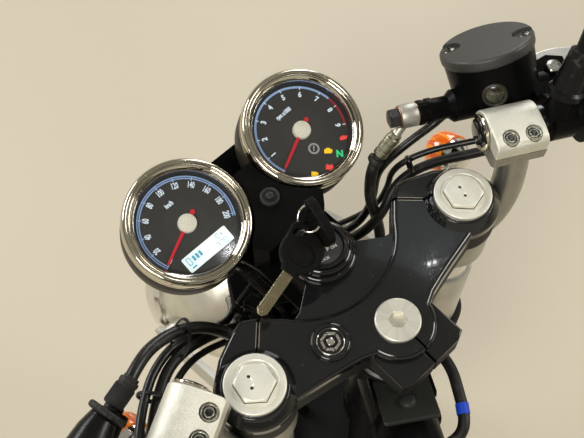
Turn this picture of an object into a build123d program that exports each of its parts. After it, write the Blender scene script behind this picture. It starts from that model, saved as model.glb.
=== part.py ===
"""Cockpit and steering head of a cafe racer motorcycle, millimetres.

+Z runs up along the steering axis, +Y forward and +X to the rider's right, as seen from the
forks, which stand turned on their left stop. The origin is the middle of the cut end of the
frame's backbone tube, which carries the whole piece and points a stop's angle off +Y.
The frame's head is one body and everything that steers is the other.
"""
import os
from math import cos, radians, sin, tan

from build123d import *

os.makedirs("parts", exist_ok=True)

# Driving sizes
FORK_SPREAD = 200.0          # between the fork tubes' axes
FORK_R = 20.5                # 41 mm fork tubes
FORK_LENGTH = 520.0
SLIDE_R = 20.0               # the stretch that runs in the slider, ground down
SLIDE_LENGTH = 270.0
FORK_RISE = 6.0              # fork tube's top above the yoke's top face
STEER_OFFSET = 32.0          # fork axes ahead of the steering axis
RAKE = 24.0                  # lean of the steering axis on the machine, degrees
STEERING_LOCK = 34.0         # from straight ahead to either stop, degrees
STEM_R = 12.7
BACKBONE_REACH = 90.0        # steering axis ahead of the backbone's cut end
BACKBONE_R = 25.4
SPIGOT_R, SPIGOT_LENGTH = 22.25, 40.0   # stepped end that the rest of the frame slides over
BACKBONE_SLOPE = RAKE        # the backbone's climb to the rear in this frame: level on the machine
YOKE_TOP = 49.0              # the yoke's top face above the origin
YOKE_THICK = 26.0
LOWER_TOP = -192.0           # the lower yoke's top face, from the upper one's
LOWER_THICK = 28.0
HEAD_TOP, HEAD_BOTTOM = -44.0, -184.0
HEAD_R = 27.0
BAR_R = 11.1                 # 22.2 mm handlebar tube
BAR_LENGTH = 250.0
BAR_INNER = (134.6, 17.3, 32.0)
BAR_SWEEP = 28.0             # degrees back
BAR_DROOP = 3.0              # degrees down
CLAMP_START = 48.0           # lever clamps' inner faces along the bars
CLAMP_WIDTH = 17.0
DIAL_CENTRE = (55.5, 115.5, 16.4)
DIAL_TILT = 17.8             # degrees toward the rider
BEZEL_R = 46.2
LOCK_Y = 40.0                # ignition lock ahead of the fork axes
BADGE = (-43.0, -11.5)
LAMP_CENTRE = (0.0, 140.0, -200.0)
LAMP_R = 80.0
INDICATOR = (178.0, 64.0, -100.0)
CLEAR = 0.4                  # radial clearance between the two bodies

HALF = FORK_SPREAD / 2
heading = radians(STEERING_LOCK)     # the frame's own forward direction, off the forks' +Y
FORK_X = BACKBONE_REACH * sin(heading)
FORK_Y = BACKBONE_REACH * cos(heading) + STEER_OFFSET


def at(x, y, z):
    """A point given from the middle of the fork axes on the upper yoke's top face."""
    return Vector(FORK_X + x, FORK_Y + y, YOKE_TOP + z)


def level(height):
    """A plane square to the steering axis, centred between the fork tubes."""
    return Plane(at(0, 0, height))


def local(plane, x, y, z):
    """A point given in a plane's own axes."""
    return plane.origin + plane.x_dir * x + plane.y_dir * y + plane.z_dir * z


def shifted(plane, x=0.0, y=0.0, z=0.0):
    return Plane(local(plane, x, y, z), x_dir=plane.x_dir, z_dir=plane.z_dir)


def section(plane):
    """The plane that holds another plane's axis: x is the radius, y the height."""
    return Plane(plane.origin, x_dir=plane.x_dir, z_dir=-plane.y_dir)


def lathe(plane, profile):
    """A turned piece from its radius and height pairs."""
    with BuildPart() as piece:
        with BuildSketch(section(plane)):
            with BuildLine():
                Polyline(*profile, close=True)
            make_face()
        revolve(axis=Axis(plane.origin, plane.z_dir))
    return piece.part


def rod(start, end, radius):
    """A round bar between two points."""
    with BuildPart() as piece:
        with BuildSketch(Plane(start, z_dir=end - start)):
            Circle(radius)
        extrude(amount=(end - start).length)
    return piece.part


def side_plane(x):
    """The fore-and-aft plane that far right of the middle of the forks."""
    return Plane.YZ.offset(FORK_X + x)


def mirrored(piece):
    return mirror(piece, about=side_plane(0))


def save(piece, name):
    piece.label = name
    export_step(piece, f"parts/{name}.step")


def save_pair(piece, name):
    """The right piece and its twin on the left."""
    save(piece, f"{name}_right")
    save(mirrored(piece), f"{name}_left")


def cord(name, points, diameter):
    """A tube of straight runs joined by arcs as large as the runs allow."""
    stops = [at(*point) for point in points]
    runs = [b - a for a, b in zip(stops, stops[1:])]
    radii = []
    for before, after in zip(runs, runs[1:]):
        turn = radians(before.get_angle(after))
        radii.append(0.45 * min(before.length, after.length) / tan(turn / 2))
    with BuildPart() as piece:
        with BuildLine():
            route = FilletPolyline(*stops, radius=radii)
        with BuildSketch(Plane(stops[0], z_dir=runs[0])):
            Circle(diameter / 2)
        sweep()
    length = route.length
    print(f"{name}: length {length:.0f}, least radius {min(radii):.0f} for {diameter} mm,"
          f" volume against length {piece.part.volume / (length * 3.14159 * diameter ** 2 / 4):.3f}")
    save(piece.part, name)


# Planes of the sloping pieces, right-hand side
STEER = Plane(at(0, -STEER_OFFSET, 0))
sweep_back, droop = radians(BAR_SWEEP), radians(BAR_DROOP)
outboard = Vector(cos(sweep_back) * cos(droop), -sin(sweep_back) * cos(droop), -sin(droop))
BAR = Plane(at(*BAR_INNER), x_dir=(sin(sweep_back), cos(sweep_back), 0), z_dir=outboard)
GRIP_PLAN = Plane(BAR.origin, x_dir=BAR.z_dir, z_dir=BAR.y_dir)
tilt = radians(DIAL_TILT)
DIAL = Plane(at(*DIAL_CENTRE), x_dir=(1, 0, 0), z_dir=(0, -sin(tilt), cos(tilt)))
rake = radians(RAKE)
MACHINE_FORWARD = Vector(0, cos(rake), -sin(rake))
LAMP = Plane(at(*LAMP_CENTRE), x_dir=(1, 0, 0), z_dir=MACHINE_FORWARD)

# Frame's head: head tube with belled ends
BELL, BELL_R, BORE_R = 16.0, 30.0, 21.5
head_outer = [(BELL_R, HEAD_TOP), (BELL_R, HEAD_TOP - BELL), (HEAD_R, HEAD_TOP - BELL - 5),
              (HEAD_R, HEAD_BOTTOM + BELL + 5), (BELL_R, HEAD_BOTTOM + BELL), (BELL_R, HEAD_BOTTOM)]
head_tube = lathe(STEER, [(BORE_R, HEAD_TOP), *head_outer, (BORE_R, HEAD_BOTTOM)])
head_space = lathe(STEER, [(0, HEAD_TOP + 8), (BELL_R, HEAD_TOP + 8), *head_outer, (BELL_R, HEAD_BOTTOM - 8),
                           (0, HEAD_BOTTOM - 8)])
save(head_tube, "head_tube")

# Bearing cups, pressed into the head tube's ends
with BuildPart() as bearing_cups:
    for end, out in ((HEAD_TOP, 1), (HEAD_BOTTOM, -1)):
        add(lathe(STEER, [
            (STEM_R + CLEAR, end - out * 12), (BORE_R, end - out * 12), (BORE_R, end),
            (BELL_R - 1, end), (BELL_R - 1, end + out * 2), (BELL_R - 4, end + out * 4),
            (STEM_R + CLEAR, end + out * 4)]))
save(bearing_cups.part, "bearing_cups")

# Backbone tube's front end with its gusset
frame_ahead = Vector(sin(heading), cos(heading), 0)
frame_right = Vector(cos(heading), -sin(heading), 0)
slope = radians(BACKBONE_SLOPE)
BACKBONE = Plane((0, 0, 0), x_dir=frame_right, z_dir=frame_ahead * cos(slope) - Vector(0, 0, sin(slope)))
FRAME_SIDE = Plane((0, 0, 0), x_dir=frame_ahead, z_dir=frame_right)
backbone_length = BACKBONE_REACH / cos(slope)
GUSSET = 28.0                        # across
PLATE_WIDTH, PLATE_THICK = 44.0, 6.0
PLATE_BOLT = 49.0                    # bolt through the plate, ahead of the cut end
with BuildPart() as frame_backbone:
    with BuildSketch(BACKBONE):
        Circle(SPIGOT_R)
    extrude(amount=SPIGOT_LENGTH)
    with BuildSketch(BACKBONE.offset(SPIGOT_LENGTH)):
        Circle(BACKBONE_R)
    extrude(amount=backbone_length - SPIGOT_LENGTH)
    with BuildSketch(FRAME_SIDE.offset(-GUSSET / 2)):
        with BuildLine():
            Polyline((SPIGOT_LENGTH + 6, -44), (BACKBONE_REACH, -64), (BACKBONE_REACH, -104),
                     (SPIGOT_LENGTH + 22, -78), close=True)
        make_face()
    extrude(amount=GUSSET)
    with BuildSketch(BACKBONE.offset(SPIGOT_LENGTH + 2)):
        with Locations((0, -BACKBONE_R)):
            Rectangle(PLATE_WIDTH, PLATE_THICK)
    extrude(amount=backbone_length - SPIGOT_LENGTH - BELL_R)
    with BuildSketch(Plane(local(BACKBONE, 0, -BACKBONE_R, PLATE_BOLT), x_dir=BACKBONE.x_dir,
                           z_dir=-BACKBONE.y_dir)):
        Circle(6)
    extrude(amount=PLATE_THICK / 2 + 4)
    with BuildSketch(BACKBONE):
        Circle(SPIGOT_R - 2.5)
    extrude(amount=backbone_length, mode=Mode.SUBTRACT)
    add(head_space, mode=Mode.SUBTRACT)
save(frame_backbone.part, "frame_backbone")

# Upper ends of the two down tubes
DOWN_R, DOWN_LENGTH = 14.0, 105.0
FRAME = Plane(STEER.origin, x_dir=frame_right)
with BuildPart() as frame_down_tubes:
    for side in (-1, 1):
        top = local(FRAME, side * 12, -8, -150)
        foot = local(FRAME, side * 34, -8 - DOWN_LENGTH * 0.70, -150 - DOWN_LENGTH * 0.70)
        add(rod(top, foot, DOWN_R))
    add(head_space, mode=Mode.SUBTRACT)
save(frame_down_tubes.part, "frame_down_tubes")

# Upper yoke: bosses on the fork tubes, arms, hollow round the lock, ears behind the stem
ARC_R, ARC_Y = 65.0, 61.5            # hollow in the top face, round the lock
SHELF_DROP = 6.0
BOSS_R = 28.0
COLLAR_R, COLLAR_TOP_R = 27.0, 22.5  # the cone round each fork tube
LOBE_R, LOBE_ANGLE = 26.7, 14.0      # round the stem, from that angle behind its middle
EAR_DROP = 7.0
SLIT, FORK_SLIT = 1.6, 2.6
RIM = 4.0


def on_boss(side, angle):
    """A point on a fork boss's outline; the angle runs from the outboard side forward."""
    return (side * (HALF + BOSS_R * cos(radians(angle))), BOSS_R * sin(radians(angle)))


def on_lobe(side):
    """Where the lobe round the stem leaves the arm."""
    angle = radians(LOBE_ANGLE)
    return (side * LOBE_R * cos(angle), -STEER_OFFSET - LOBE_R * sin(angle))


with BuildPart() as top_yoke:
    with BuildSketch(level(-YOKE_THICK)):
        with BuildLine():
            ThreePointArc((-52, 22.5), (0, ARC_Y - ARC_R), (52, 22.5))
            for side in (-1, 1):
                front = [(52, 22.5), (66, 36), (76, 42), (86.5, 39.6), (104, 32)]
                rear = [(60, -28.5), (46, -31.5), (34, -34.5)]
                Polyline(*[(side * x, y) for x, y in front], on_boss(side, 50))
                ThreePointArc(on_boss(side, 50), on_boss(side, -40), on_boss(side, -122))
                Polyline(on_boss(side, -122), *[(side * x, y) for x, y in rear], on_lobe(side))
            ThreePointArc(on_lobe(-1), (0, -STEER_OFFSET - LOBE_R), on_lobe(1))
        make_face()
    extrude(amount=YOKE_THICK)
    fillet(top_yoke.edges().group_by(Axis.Z)[-1], radius=RIM)
    with BuildSketch(level(-YOKE_THICK)):
        with BuildLine():
            Polyline((-29.3, -35), (-29.3, -65), (-22.5, -68), (22.5, -68), (29.3, -65), (29.3, -35), close=True)
        make_face()
    extrude(amount=YOKE_THICK - EAR_DROP)
    with BuildSketch(level(-YOKE_THICK)):
        with BuildLine():
            Polyline((-50, 18), (-41.5, 20), (-25, 31.5), (-25, 46), (25, 46), (25, 31.5), (41.5, 20), (50, 18),
                     (40, -6), (-40, -6), close=True)
        make_face()
    extrude(amount=YOKE_THICK - SHELF_DROP)
    for side in (-1, 1):
        add(lathe(Plane(at(side * HALF, 0, 0)), [
            (FORK_R - 2, -SHELF_DROP), (COLLAR_R, -SHELF_DROP), (COLLAR_R, -1),
            (COLLAR_TOP_R, FORK_RISE - 0.4), (COLLAR_TOP_R - 0.8, FORK_RISE), (FORK_R - 2, FORK_RISE)]))
        with BuildSketch(level(FORK_RISE)):
            with Locations((side * HALF, 0)):
                Circle(FORK_R)
            with Locations(Location((side * (HALF - 28), 28), -45 * side)):
                Rectangle(60, FORK_SLIT)
        extrude(amount=-YOKE_THICK - FORK_RISE, mode=Mode.SUBTRACT)
    with BuildSketch(level(0)):
        with Locations((0, -STEER_OFFSET)):
            Circle(STEM_R)
        with Locations((0, -STEER_OFFSET - 26)):
            Rectangle(SLIT, 40)
        with Locations((0, LOCK_Y)):
            Circle(17)
    extrude(amount=-YOKE_THICK, mode=Mode.SUBTRACT)
save(top_yoke.part, "top_yoke")

# Lower yoke, a thick plain forging
with BuildPart() as lower_yoke:
    with BuildSketch(level(LOWER_TOP - LOWER_THICK)):
        with BuildLine():
            Polyline((-HALF, 29), (-50, 16), (50, 16), (HALF, 29), (HALF, -29), (60, -28), (21, -55),
                     (-21, -55), (-60, -28), (-HALF, -29), close=True)
        make_face()
        for x in (-HALF, HALF):
            with Locations((x, 0)):
                Circle(29)
        with Locations((0, -STEER_OFFSET)):
            Circle(30)
    extrude(amount=LOWER_THICK)
    fillet(lower_yoke.edges().group_by(Axis.Z)[-1], radius=3)
    with BuildSketch(level(LOWER_TOP)):
        for x in (-HALF, HALF):
            with Locations((x, 0)):
                Circle(FORK_R)
        with Locations((0, -STEER_OFFSET)):
            Circle(STEM_R)
    extrude(amount=-LOWER_THICK, mode=Mode.SUBTRACT)
save(lower_yoke.part, "lower_yoke")

# Steering stem with its adjuster ring, and the bolt on top
save(lathe(STEER, [
    (0, LOWER_TOP - LOWER_THICK), (STEM_R, LOWER_TOP - LOWER_THICK), (STEM_R, -37), (22, -37), (22, -29),
    (STEM_R, -29), (STEM_R, -3), (0, -3)]), "steering_stem")
STEM_BOLT_R = 15.7
with BuildPart() as stem_bolt:
    add(lathe(STEER, [(0, 0), (STEM_BOLT_R, 0), (STEM_BOLT_R, 2), (STEM_BOLT_R - 1, 3), (0, 3)]))
    with BuildSketch(STEER.offset(3)):
        RegularPolygon(radius=7, side_count=6, major_radius=False)
    extrude(amount=-2.4, mode=Mode.SUBTRACT)
save(stem_bolt.part, "stem_bolt")

# Fork tubes, their caps and the sleeves between the yokes
FORK = Plane(at(HALF, 0, 0))
CAP_R = 20.6
with BuildPart() as fork_cap:
    add(lathe(FORK.offset(FORK_RISE), [(0, 0), (CAP_R, 0), (CAP_R, 3), (CAP_R - 0.8, 3.8), (0, 3.8)]))
    with BuildSketch(FORK.offset(FORK_RISE + 3.8)):
        RegularPolygon(radius=12.2, side_count=6, major_radius=False, rotation=12)
    extrude(amount=3.6)
    with BuildSketch(FORK.offset(FORK_RISE + 7.4)):
        with Locations((-2.5, 2.5), (2.5, -2.5)):
            Circle(1.5)
    extrude(amount=-2, mode=Mode.SUBTRACT)
save_pair(fork_cap.part, "fork_cap")
with BuildPart() as fork_tube:
    with BuildSketch(FORK.offset(FORK_RISE)):
        Circle(FORK_R)
    extrude(amount=SLIDE_LENGTH - FORK_LENGTH)
    with BuildSketch(FORK.offset(FORK_RISE - FORK_LENGTH)):
        Circle(SLIDE_R)
    extrude(amount=SLIDE_LENGTH)
    with BuildSketch(FORK.offset(FORK_RISE)):
        Circle(FORK_R - 2.5)
    extrude(amount=-FORK_LENGTH, mode=Mode.SUBTRACT)
save_pair(fork_tube.part, "fork_tube")
SLEEVE_R, SLEEVE_TOP = 23.5, -98.0
EAR_X = 89.0
with BuildPart() as fork_shroud:
    add(lathe(FORK, [(FORK_R, LOWER_TOP), (SLEEVE_R, LOWER_TOP), (SLEEVE_R, SLEEVE_TOP - 2),
                     (SLEEVE_R - 1, SLEEVE_TOP), (FORK_R, SLEEVE_TOP)]))
    with BuildSketch(side_plane(EAR_X)):
        with BuildLine():
            Polyline((FORK_Y + 10, YOKE_TOP - 112), (FORK_Y + 10, YOKE_TOP - 150),
                     (FORK_Y + 132, YOKE_TOP - 216), (FORK_Y + 144, YOKE_TOP - 217),
                     (FORK_Y + 156, YOKE_TOP - 203), (FORK_Y + 150, YOKE_TOP - 188), close=True)
        make_face()
    extrude(amount=5)
    with BuildSketch(level(SLEEVE_TOP)):
        with Locations((HALF, 0)):
            Circle(FORK_R)
    extrude(amount=-100, mode=Mode.SUBTRACT)
save_pair(fork_shroud.part, "fork_shroud")

# Badge boss with a plain disc
with BuildPart() as yoke_badge:
    add(lathe(Plane(at(*BADGE, 0)), [
        (0, 0), (13.4, 0), (13.4, 0.6), (12, 1.6), (10, 2.2), (9.6, 1.4), (0, 1.4)]))
save(yoke_badge.part, "yoke_badge")

# Ignition lock
LOCK = Plane(at(0, LOCK_Y, 0))
LOCK_FACE = 9.0
save(lathe(LOCK, [
    (14.8, -10), (17, -10), (17, -SHELF_DROP), (24, -SHELF_DROP), (24, 0), (22.5, 1.5), (21, 1.5), (21, 6),
    (19.5, 8), (18.4, 8), (18.4, 10), (17, 11.4), (15.6, 11.4), (14.8, 10)]), "lock_housing")
with BuildPart() as lock_barrel:
    add(lathe(LOCK, [
        (0, -52), (15, -52), (16.5, -50), (16.5, -11), (14.6, -10), (14.6, LOCK_FACE), (0, LOCK_FACE)]))
    with BuildSketch(LOCK.offset(LOCK_FACE)):
        Rectangle(3, 11)
    extrude(amount=-3, mode=Mode.SUBTRACT)
save(lock_barrel.part, "lock_barrel")


BOW_THICK = 7.0
SLOT_PLACE = (-9.0, 10.0)            # the ring's slot, from the bow's centre


def key(plane, blade, blade_shift):
    """A key whose round bow is centred on the plane's origin; the blade points along -y."""
    with BuildPart() as piece:
        with BuildSketch(plane.offset(-BOW_THICK / 2)):
            Circle(15)
            with Locations(SLOT_PLACE):
                Circle(7)
            with Locations((blade_shift, -13)):
                Rectangle(12, 8)
        extrude(amount=BOW_THICK)
        with BuildSketch(plane.offset(-BOW_THICK / 2)):
            with Locations(Location(SLOT_PLACE, 42)):
                SlotOverall(11, 5.5)
        extrude(amount=BOW_THICK, mode=Mode.SUBTRACT)
        with BuildSketch(plane.offset(-1.2)):
            with Locations((blade_shift, -16 - blade / 2)):
                Rectangle(8, blade)
        extrude(amount=2.4)
    return piece.part


LOCK_KEY = Plane(at(0.5, LOCK_Y + 3.5, 34), x_dir=(-0.2, -0.98, 0), z_dir=(-0.98, 0.2, 0))
save(key(LOCK_KEY, 34 - 16.5 - LOCK_FACE, 3.5), "lock_key")
SPARE = Plane(at(-19.5, 40.5, 26.5), x_dir=(0.268, -0.841, -0.469), z_dir=(-0.114, -0.511, 0.852))
save(key(SPARE, 36, 1), "spare_key")
RING = Plane(at(-3.4, 49.3, 40.8), z_dir=(-0.656, 0.089, 0.75))
RING_MEAN_R, WIRE_R = 9.2, 0.8
with BuildPart() as key_ring:
    with BuildSketch(shifted(section(RING), RING_MEAN_R)):
        Circle(WIRE_R)
    revolve(axis=Axis(RING.origin, RING.z_dir))
save(key_ring.part, "key_ring")

# Instruments: cups, bezels, dials, glasses and needles
CUP_DEPTH = 50.0
cup = lathe(DIAL, [
    (0, -CUP_DEPTH), (36, -CUP_DEPTH), (42, -CUP_DEPTH + 2), (45, -CUP_DEPTH + 6.5), (46, -CUP_DEPTH + 13),
    (46, -12.6), (44.6, -12.6), (44.6, -3.2), (41.5, -3.2), (41.5, -12), (0, -12)])
save_pair(cup, "gauge_cup")


def save_both(piece, name):
    """Twins that share one node."""
    with BuildPart() as pair:
        add(piece)
        add(mirrored(piece))
    save(pair.part, name)


save_both(lathe(DIAL, [
    (37.2, -3), (37.2, -1.4), (38.6, -0.2), (40.6, 0.4), (42.8, -0.2), (45, -2.2), (46.2, -5.4), (46.2, -12),
    (44.8, -12), (44.8, -3)]), "gauge_bezels")
save_both(lathe(DIAL, [(0, -10.8), (41.3, -10.8), (41.3, -10), (0, -10)]), "gauge_dials")
save_both(lathe(DIAL, [(0, -4.6), (41.3, -4.6), (41.3, -3.3), (0, -3.3)]), "gauge_glasses")
with BuildPart() as gauge_needles:
    for side, turn in ((-1, 205), (1, 205)):
        plane = Plane(at(side * DIAL_CENTRE[0], *DIAL_CENTRE[1:]), x_dir=(1, 0, 0), z_dir=DIAL.z_dir)
        add(lathe(plane, [(0, -9.8), (6.8, -9.8), (6.8, -6.6), (6, -6), (0, -6)]))
        with BuildSketch(plane.offset(-8.2)):
            with BuildLine():
                point = [(-8, -1.2), (-8, 1.2), (30, 0.5), (30, -0.5)]
                Polyline(*[(x * cos(radians(turn)) - y * sin(radians(turn)),
                            x * sin(radians(turn)) + y * cos(radians(turn))) for x, y in point], close=True)
            make_face()
        extrude(amount=1)
save(gauge_needles.part, "gauge_needles")

# Instrument carrier: a folded plate under the cups and the cover between them
with BuildPart() as instrument_bracket:
    with BuildSketch(side_plane(-34)):
        with BuildLine():
            side_view = [(12, -26), (70, -26), (94.6, -42.8), (159.4, -22), (160.6, -25.8), (94.6, -47),
                         (70, -30.2), (12, -30)]
            Polyline(*[(FORK_Y + y, YOKE_TOP + z) for y, z in side_view], close=True)
        make_face()
    extrude(amount=68)
    with BuildSketch(DIAL.offset(-CUP_DEPTH)):
        with Locations((-DIAL_CENTRE[0], -4)):
            RectangleRounded(170, 56, 20)
    extrude(amount=-4)
    with BuildSketch(level(-44)):
        with BuildLine():
            Polyline((-27, 65), (27, 65), (34, 74), (14, 100), (9, 124), (-9, 124), (-14, 100), (-34, 74),
                     close=True)
        make_face()
    extrude(amount=58)
    with BuildSketch(side_plane(-40)):
        with BuildLine():
            Polyline((FORK_Y + 55, YOKE_TOP - 3), (FORK_Y + 84, YOKE_TOP + 6), (FORK_Y + 130, YOKE_TOP + 10),
                     (FORK_Y + 130, YOKE_TOP + 30), (FORK_Y + 55, YOKE_TOP + 30), close=True)
        make_face()
    extrude(amount=80, mode=Mode.SUBTRACT)
    for side in (-1, 1):
        top = Plane(at(side * DIAL_CENTRE[0], *DIAL_CENTRE[1:]), x_dir=(1, 0, 0), z_dir=DIAL.z_dir).offset(20)
        with BuildSketch(top):
            Circle(BEZEL_R + 0.4)
        extrude(amount=-CUP_DEPTH - 20, mode=Mode.SUBTRACT)
    with BuildSketch(level(-22)):
        with Locations((0, LOCK_Y)):
            Circle(17.5)
    extrude(amount=-30, mode=Mode.SUBTRACT)
save(instrument_bracket.part, "instrument_bracket")
TRIP = Plane(at(0, 93, 7.8), x_dir=(1, 0, 0), z_dir=(0, -0.08, 1))
save(lathe(TRIP, [
    (0, 0), (7.2, 0), (7.2, 2.6), (6.2, 3.4), (5, 3.4), (4.6, 2.4), (3.4, 2.4), (2.6, 5), (0, 5.4)]), "trip_button")

# Clip-ons: fork clamp, riser and the lower half of the bar clamp
RING_TOP, RING_BOTTOM, RING_R = -27.0, -58.0, 27.0
RISER_R = 11.6
CLAMP_LENGTH = 39.0
CLAMP_FRONT, CLAMP_REAR = 15.5, -25.0
BOLT_BACK = 17.0


def clamp_section(height):
    """Half of the bar clamp's outline, rounded in front round the bar."""
    Polyline((0, height), (CLAMP_REAR + 4, height * 0.86), (CLAMP_REAR, height * 0.6), (CLAMP_REAR, 0),
             (CLAMP_FRONT, 0))
    TangentArc((CLAMP_FRONT, 0), (0, height), tangent=(0, 1 if height > 0 else -1))


with BuildPart() as clip_on:
    with BuildSketch(FORK.offset(RING_BOTTOM)):
        Circle(RING_R)
    extrude(amount=RING_TOP - RING_BOTTOM)
    with BuildLine() as riser_path:
        Spline(local(BAR, -14, -8, 20), at(140, -11, -14), at(128, -12, -36), at(108, -8, -44))
    with BuildSketch(Plane(riser_path.line @ 0, z_dir=riser_path.line % 0)):
        Circle(RISER_R)
    sweep()
    with BuildSketch(BAR.offset(1)):
        with BuildLine():
            clamp_section(-15)
        make_face()
    extrude(amount=CLAMP_LENGTH - 1)
    with BuildSketch(BAR):
        Circle(BAR_R)
    extrude(amount=CLAMP_LENGTH + 2, mode=Mode.SUBTRACT)
    with BuildSketch(FORK.offset(RING_TOP)):
        Circle(FORK_R)
    extrude(amount=RING_BOTTOM - RING_TOP, mode=Mode.SUBTRACT)
    with BuildSketch(level(0)):
        with Locations((HALF, 0)):
            Circle(BOSS_R + 0.6)
    extrude(amount=-YOKE_THICK - 0.6, mode=Mode.SUBTRACT)
save_pair(clip_on.part, "clip_on")
with BuildPart() as clamp_cap:
    with BuildSketch(BAR):
        with BuildLine():
            clamp_section(15)
        make_face()
    extrude(amount=CLAMP_LENGTH)
    with BuildSketch(BAR):
        Circle(BAR_R)
    extrude(amount=CLAMP_LENGTH, mode=Mode.SUBTRACT)
    for along in (11.5, 28.5):
        with BuildSketch(Plane(local(BAR, -BOLT_BACK, 9, along), x_dir=BAR.z_dir, z_dir=BAR.y_dir)):
            Circle(6.2)
        extrude(amount=8, mode=Mode.SUBTRACT)
save_pair(clamp_cap.part, "clamp_cap")

# Bars, grips and bar ends
with BuildPart() as handlebar:
    with BuildSketch(BAR.offset(-1)):
        Circle(BAR_R)
    extrude(amount=BAR_LENGTH)
save_pair(handlebar.part, "handlebar")
GRIP_START = 124.0
save_pair(lathe(BAR.offset(GRIP_START), [
    (BAR_R, 0), (21, 0), (21, 3), (16.5, 6), (15.5, 60), (16.5, 118), (15, 122), (BAR_R, 122)]), "grip")
save_pair(lathe(BAR.offset(GRIP_START + 122.6), [
    (BAR_R, 0), (15, 0), (15, 8), (16.5, 12), (16.5, 30), (14, 33), (0, 33), (0, 2.6), (BAR_R, 2.6)]), "bar_end")

# Switch housings round the bars
SWITCH_START, SWITCH_LENGTH = 72.0, 48.0
with BuildPart() as switch_housing:
    with BuildSketch(BAR.offset(SWITCH_START)):
        with Locations((-1, 2)):
            RectangleRounded(38, 46, 14)
        Circle(BAR_R, mode=Mode.SUBTRACT)
    extrude(amount=SWITCH_LENGTH)
save_pair(switch_housing.part, "switch_housing")

STALK_FOOT = local(BAR, 2, 23, CLAMP_START + CLAMP_WIDTH / 2)
STALK_AXIS = Vector(0.42, 0.16, 0.89)
STALK = Plane(STALK_FOOT, z_dir=STALK_AXIS)
HEAD_CENTRE = STALK_FOOT + STALK_AXIS * 150 + Vector(28, -26, 0)
MIRROR = Plane(HEAD_CENTRE, x_dir=(1, 0, 0), z_dir=(-0.12, -0.97, -0.2))
MIRROR_R = 44.0

# Front brake: master cylinder, reservoir, banjo and lever
CYLINDER = shifted(BAR, 34, -12, 0)
CYLINDER_R = 12.0
RESERVOIR_AXIS = Vector(0.14, 0.57, 0.81)
RESERVOIR = Plane(at(186.3, 62.2, 47.0), x_dir=(0.95, -0.31, 0), z_dir=RESERVOIR_AXIS)
RESERVOIR_R = 34.4
sight_angle = radians(240)           # of the sight glass round the reservoir
SIGHT_OUT = RESERVOIR.x_dir * cos(sight_angle) + RESERVOIR.y_dir * sin(sight_angle)
SIGHT = Plane(local(RESERVOIR, 0, 0, -28.5) + SIGHT_OUT * 31.4, z_dir=SIGHT_OUT)
PIVOT = (72.5, 41.0)                 # of each lever, along the bar and ahead of it
PIVOT_R = 4.0


def perch_clamp():
    """The clamp that holds a lever's perch on the bar."""
    with BuildPart() as piece:
        with BuildSketch(BAR.offset(CLAMP_START)):
            Circle(BAR_R + 6)
            with Locations((15, -5)):
                Rectangle(26, 18)
        extrude(amount=CLAMP_WIDTH)
        add(lathe(STALK, [(0, -18), (9, -18), (9, 0), (0, 0)]))
        with BuildSketch(BAR.offset(CLAMP_START - 5)):
            Circle(BAR_R)
        extrude(amount=CLAMP_WIDTH + 10, mode=Mode.SUBTRACT)
    return piece.part


def lever_gap():
    """The gap between a perch's two jaws, where the lever's head swings."""
    with BuildPart() as piece:
        with BuildSketch(GRIP_PLAN.offset(-18)):
            with BuildLine():
                Polyline((62, 31), (90, 24), (90, 66), (62, 66), close=True)
            make_face()
        extrude(amount=12)
    return piece.part


def pivot_bolt():
    """The bolt that joins the jaws through the lever, with its round head on top."""
    with BuildPart() as piece:
        for start, length, radius in ((-22, 20, PIVOT_R), (-2, 2.4, 6.5)):
            with BuildSketch(GRIP_PLAN.offset(start)):
                with Locations(PIVOT):
                    Circle(radius)
            extrude(amount=length)
    return piece.part


with BuildPart() as master_cylinder:
    add(perch_clamp())
    add(lathe(CYLINDER, [(0, -26), (8.5, -26), (8.5, -12), (CYLINDER_R, -8), (CYLINDER_R, 66), (0, 66)]))
    with BuildSketch(GRIP_PLAN.offset(-22)):
        with BuildLine():
            Polyline((48, 22), (84, 30), (84, 50), (72, 54), (48, 46), close=True)
        make_face()
    extrude(amount=20)
    add(lathe(RESERVOIR, [(0, -46), (27, -46), (30.5, -43.5), (31.4, -39), (33, -9.2), (0, -9.2)]))
    add(lathe(SIGHT, [(0, -4), (9, -4), (9, 2.2), (0, 2.2)]), mode=Mode.SUBTRACT)
    with BuildSketch(BAR):
        Rectangle(2 * CLAMP_FRONT + 1, 32)
    extrude(amount=CLAMP_LENGTH + 0.5, mode=Mode.SUBTRACT)
    add(lever_gap(), mode=Mode.SUBTRACT)
    add(pivot_bolt())
save(master_cylinder.part, "master_cylinder")
with BuildPart() as reservoir_cap:
    add(lathe(RESERVOIR, [
        (0, -9), (33.6, -9), (RESERVOIR_R, -7), (RESERVOIR_R, -1.5), (RESERVOIR_R - 1.5, 0), (0, 0)]))
save(reservoir_cap.part, "reservoir_cap")
save(lathe(SIGHT, [(0, -3), (9, -3), (9, 1.5), (8, 2.2), (6, 2.2), (5.6, 1), (0, 1.4)]), "sight_glass")
with BuildPart() as banjo_fitting:
    add(lathe(CYLINDER, [
        (0, -44.5), (8.6, -44.5), (8.6, -43), (9.6, -42.5), (9.6, -28.5), (8.6, -28), (8.6, -26.2), (0, -26.2)]))
    with BuildSketch(CYLINDER.offset(-53)):
        RegularPolygon(radius=6.6, side_count=6, major_radius=False)
    extrude(amount=9)
    add(rod(local(CYLINDER, 0, 0, -35.5), local(CYLINDER, -3, -22, -44), 5))
save(banjo_fitting.part, "banjo_fitting")
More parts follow.
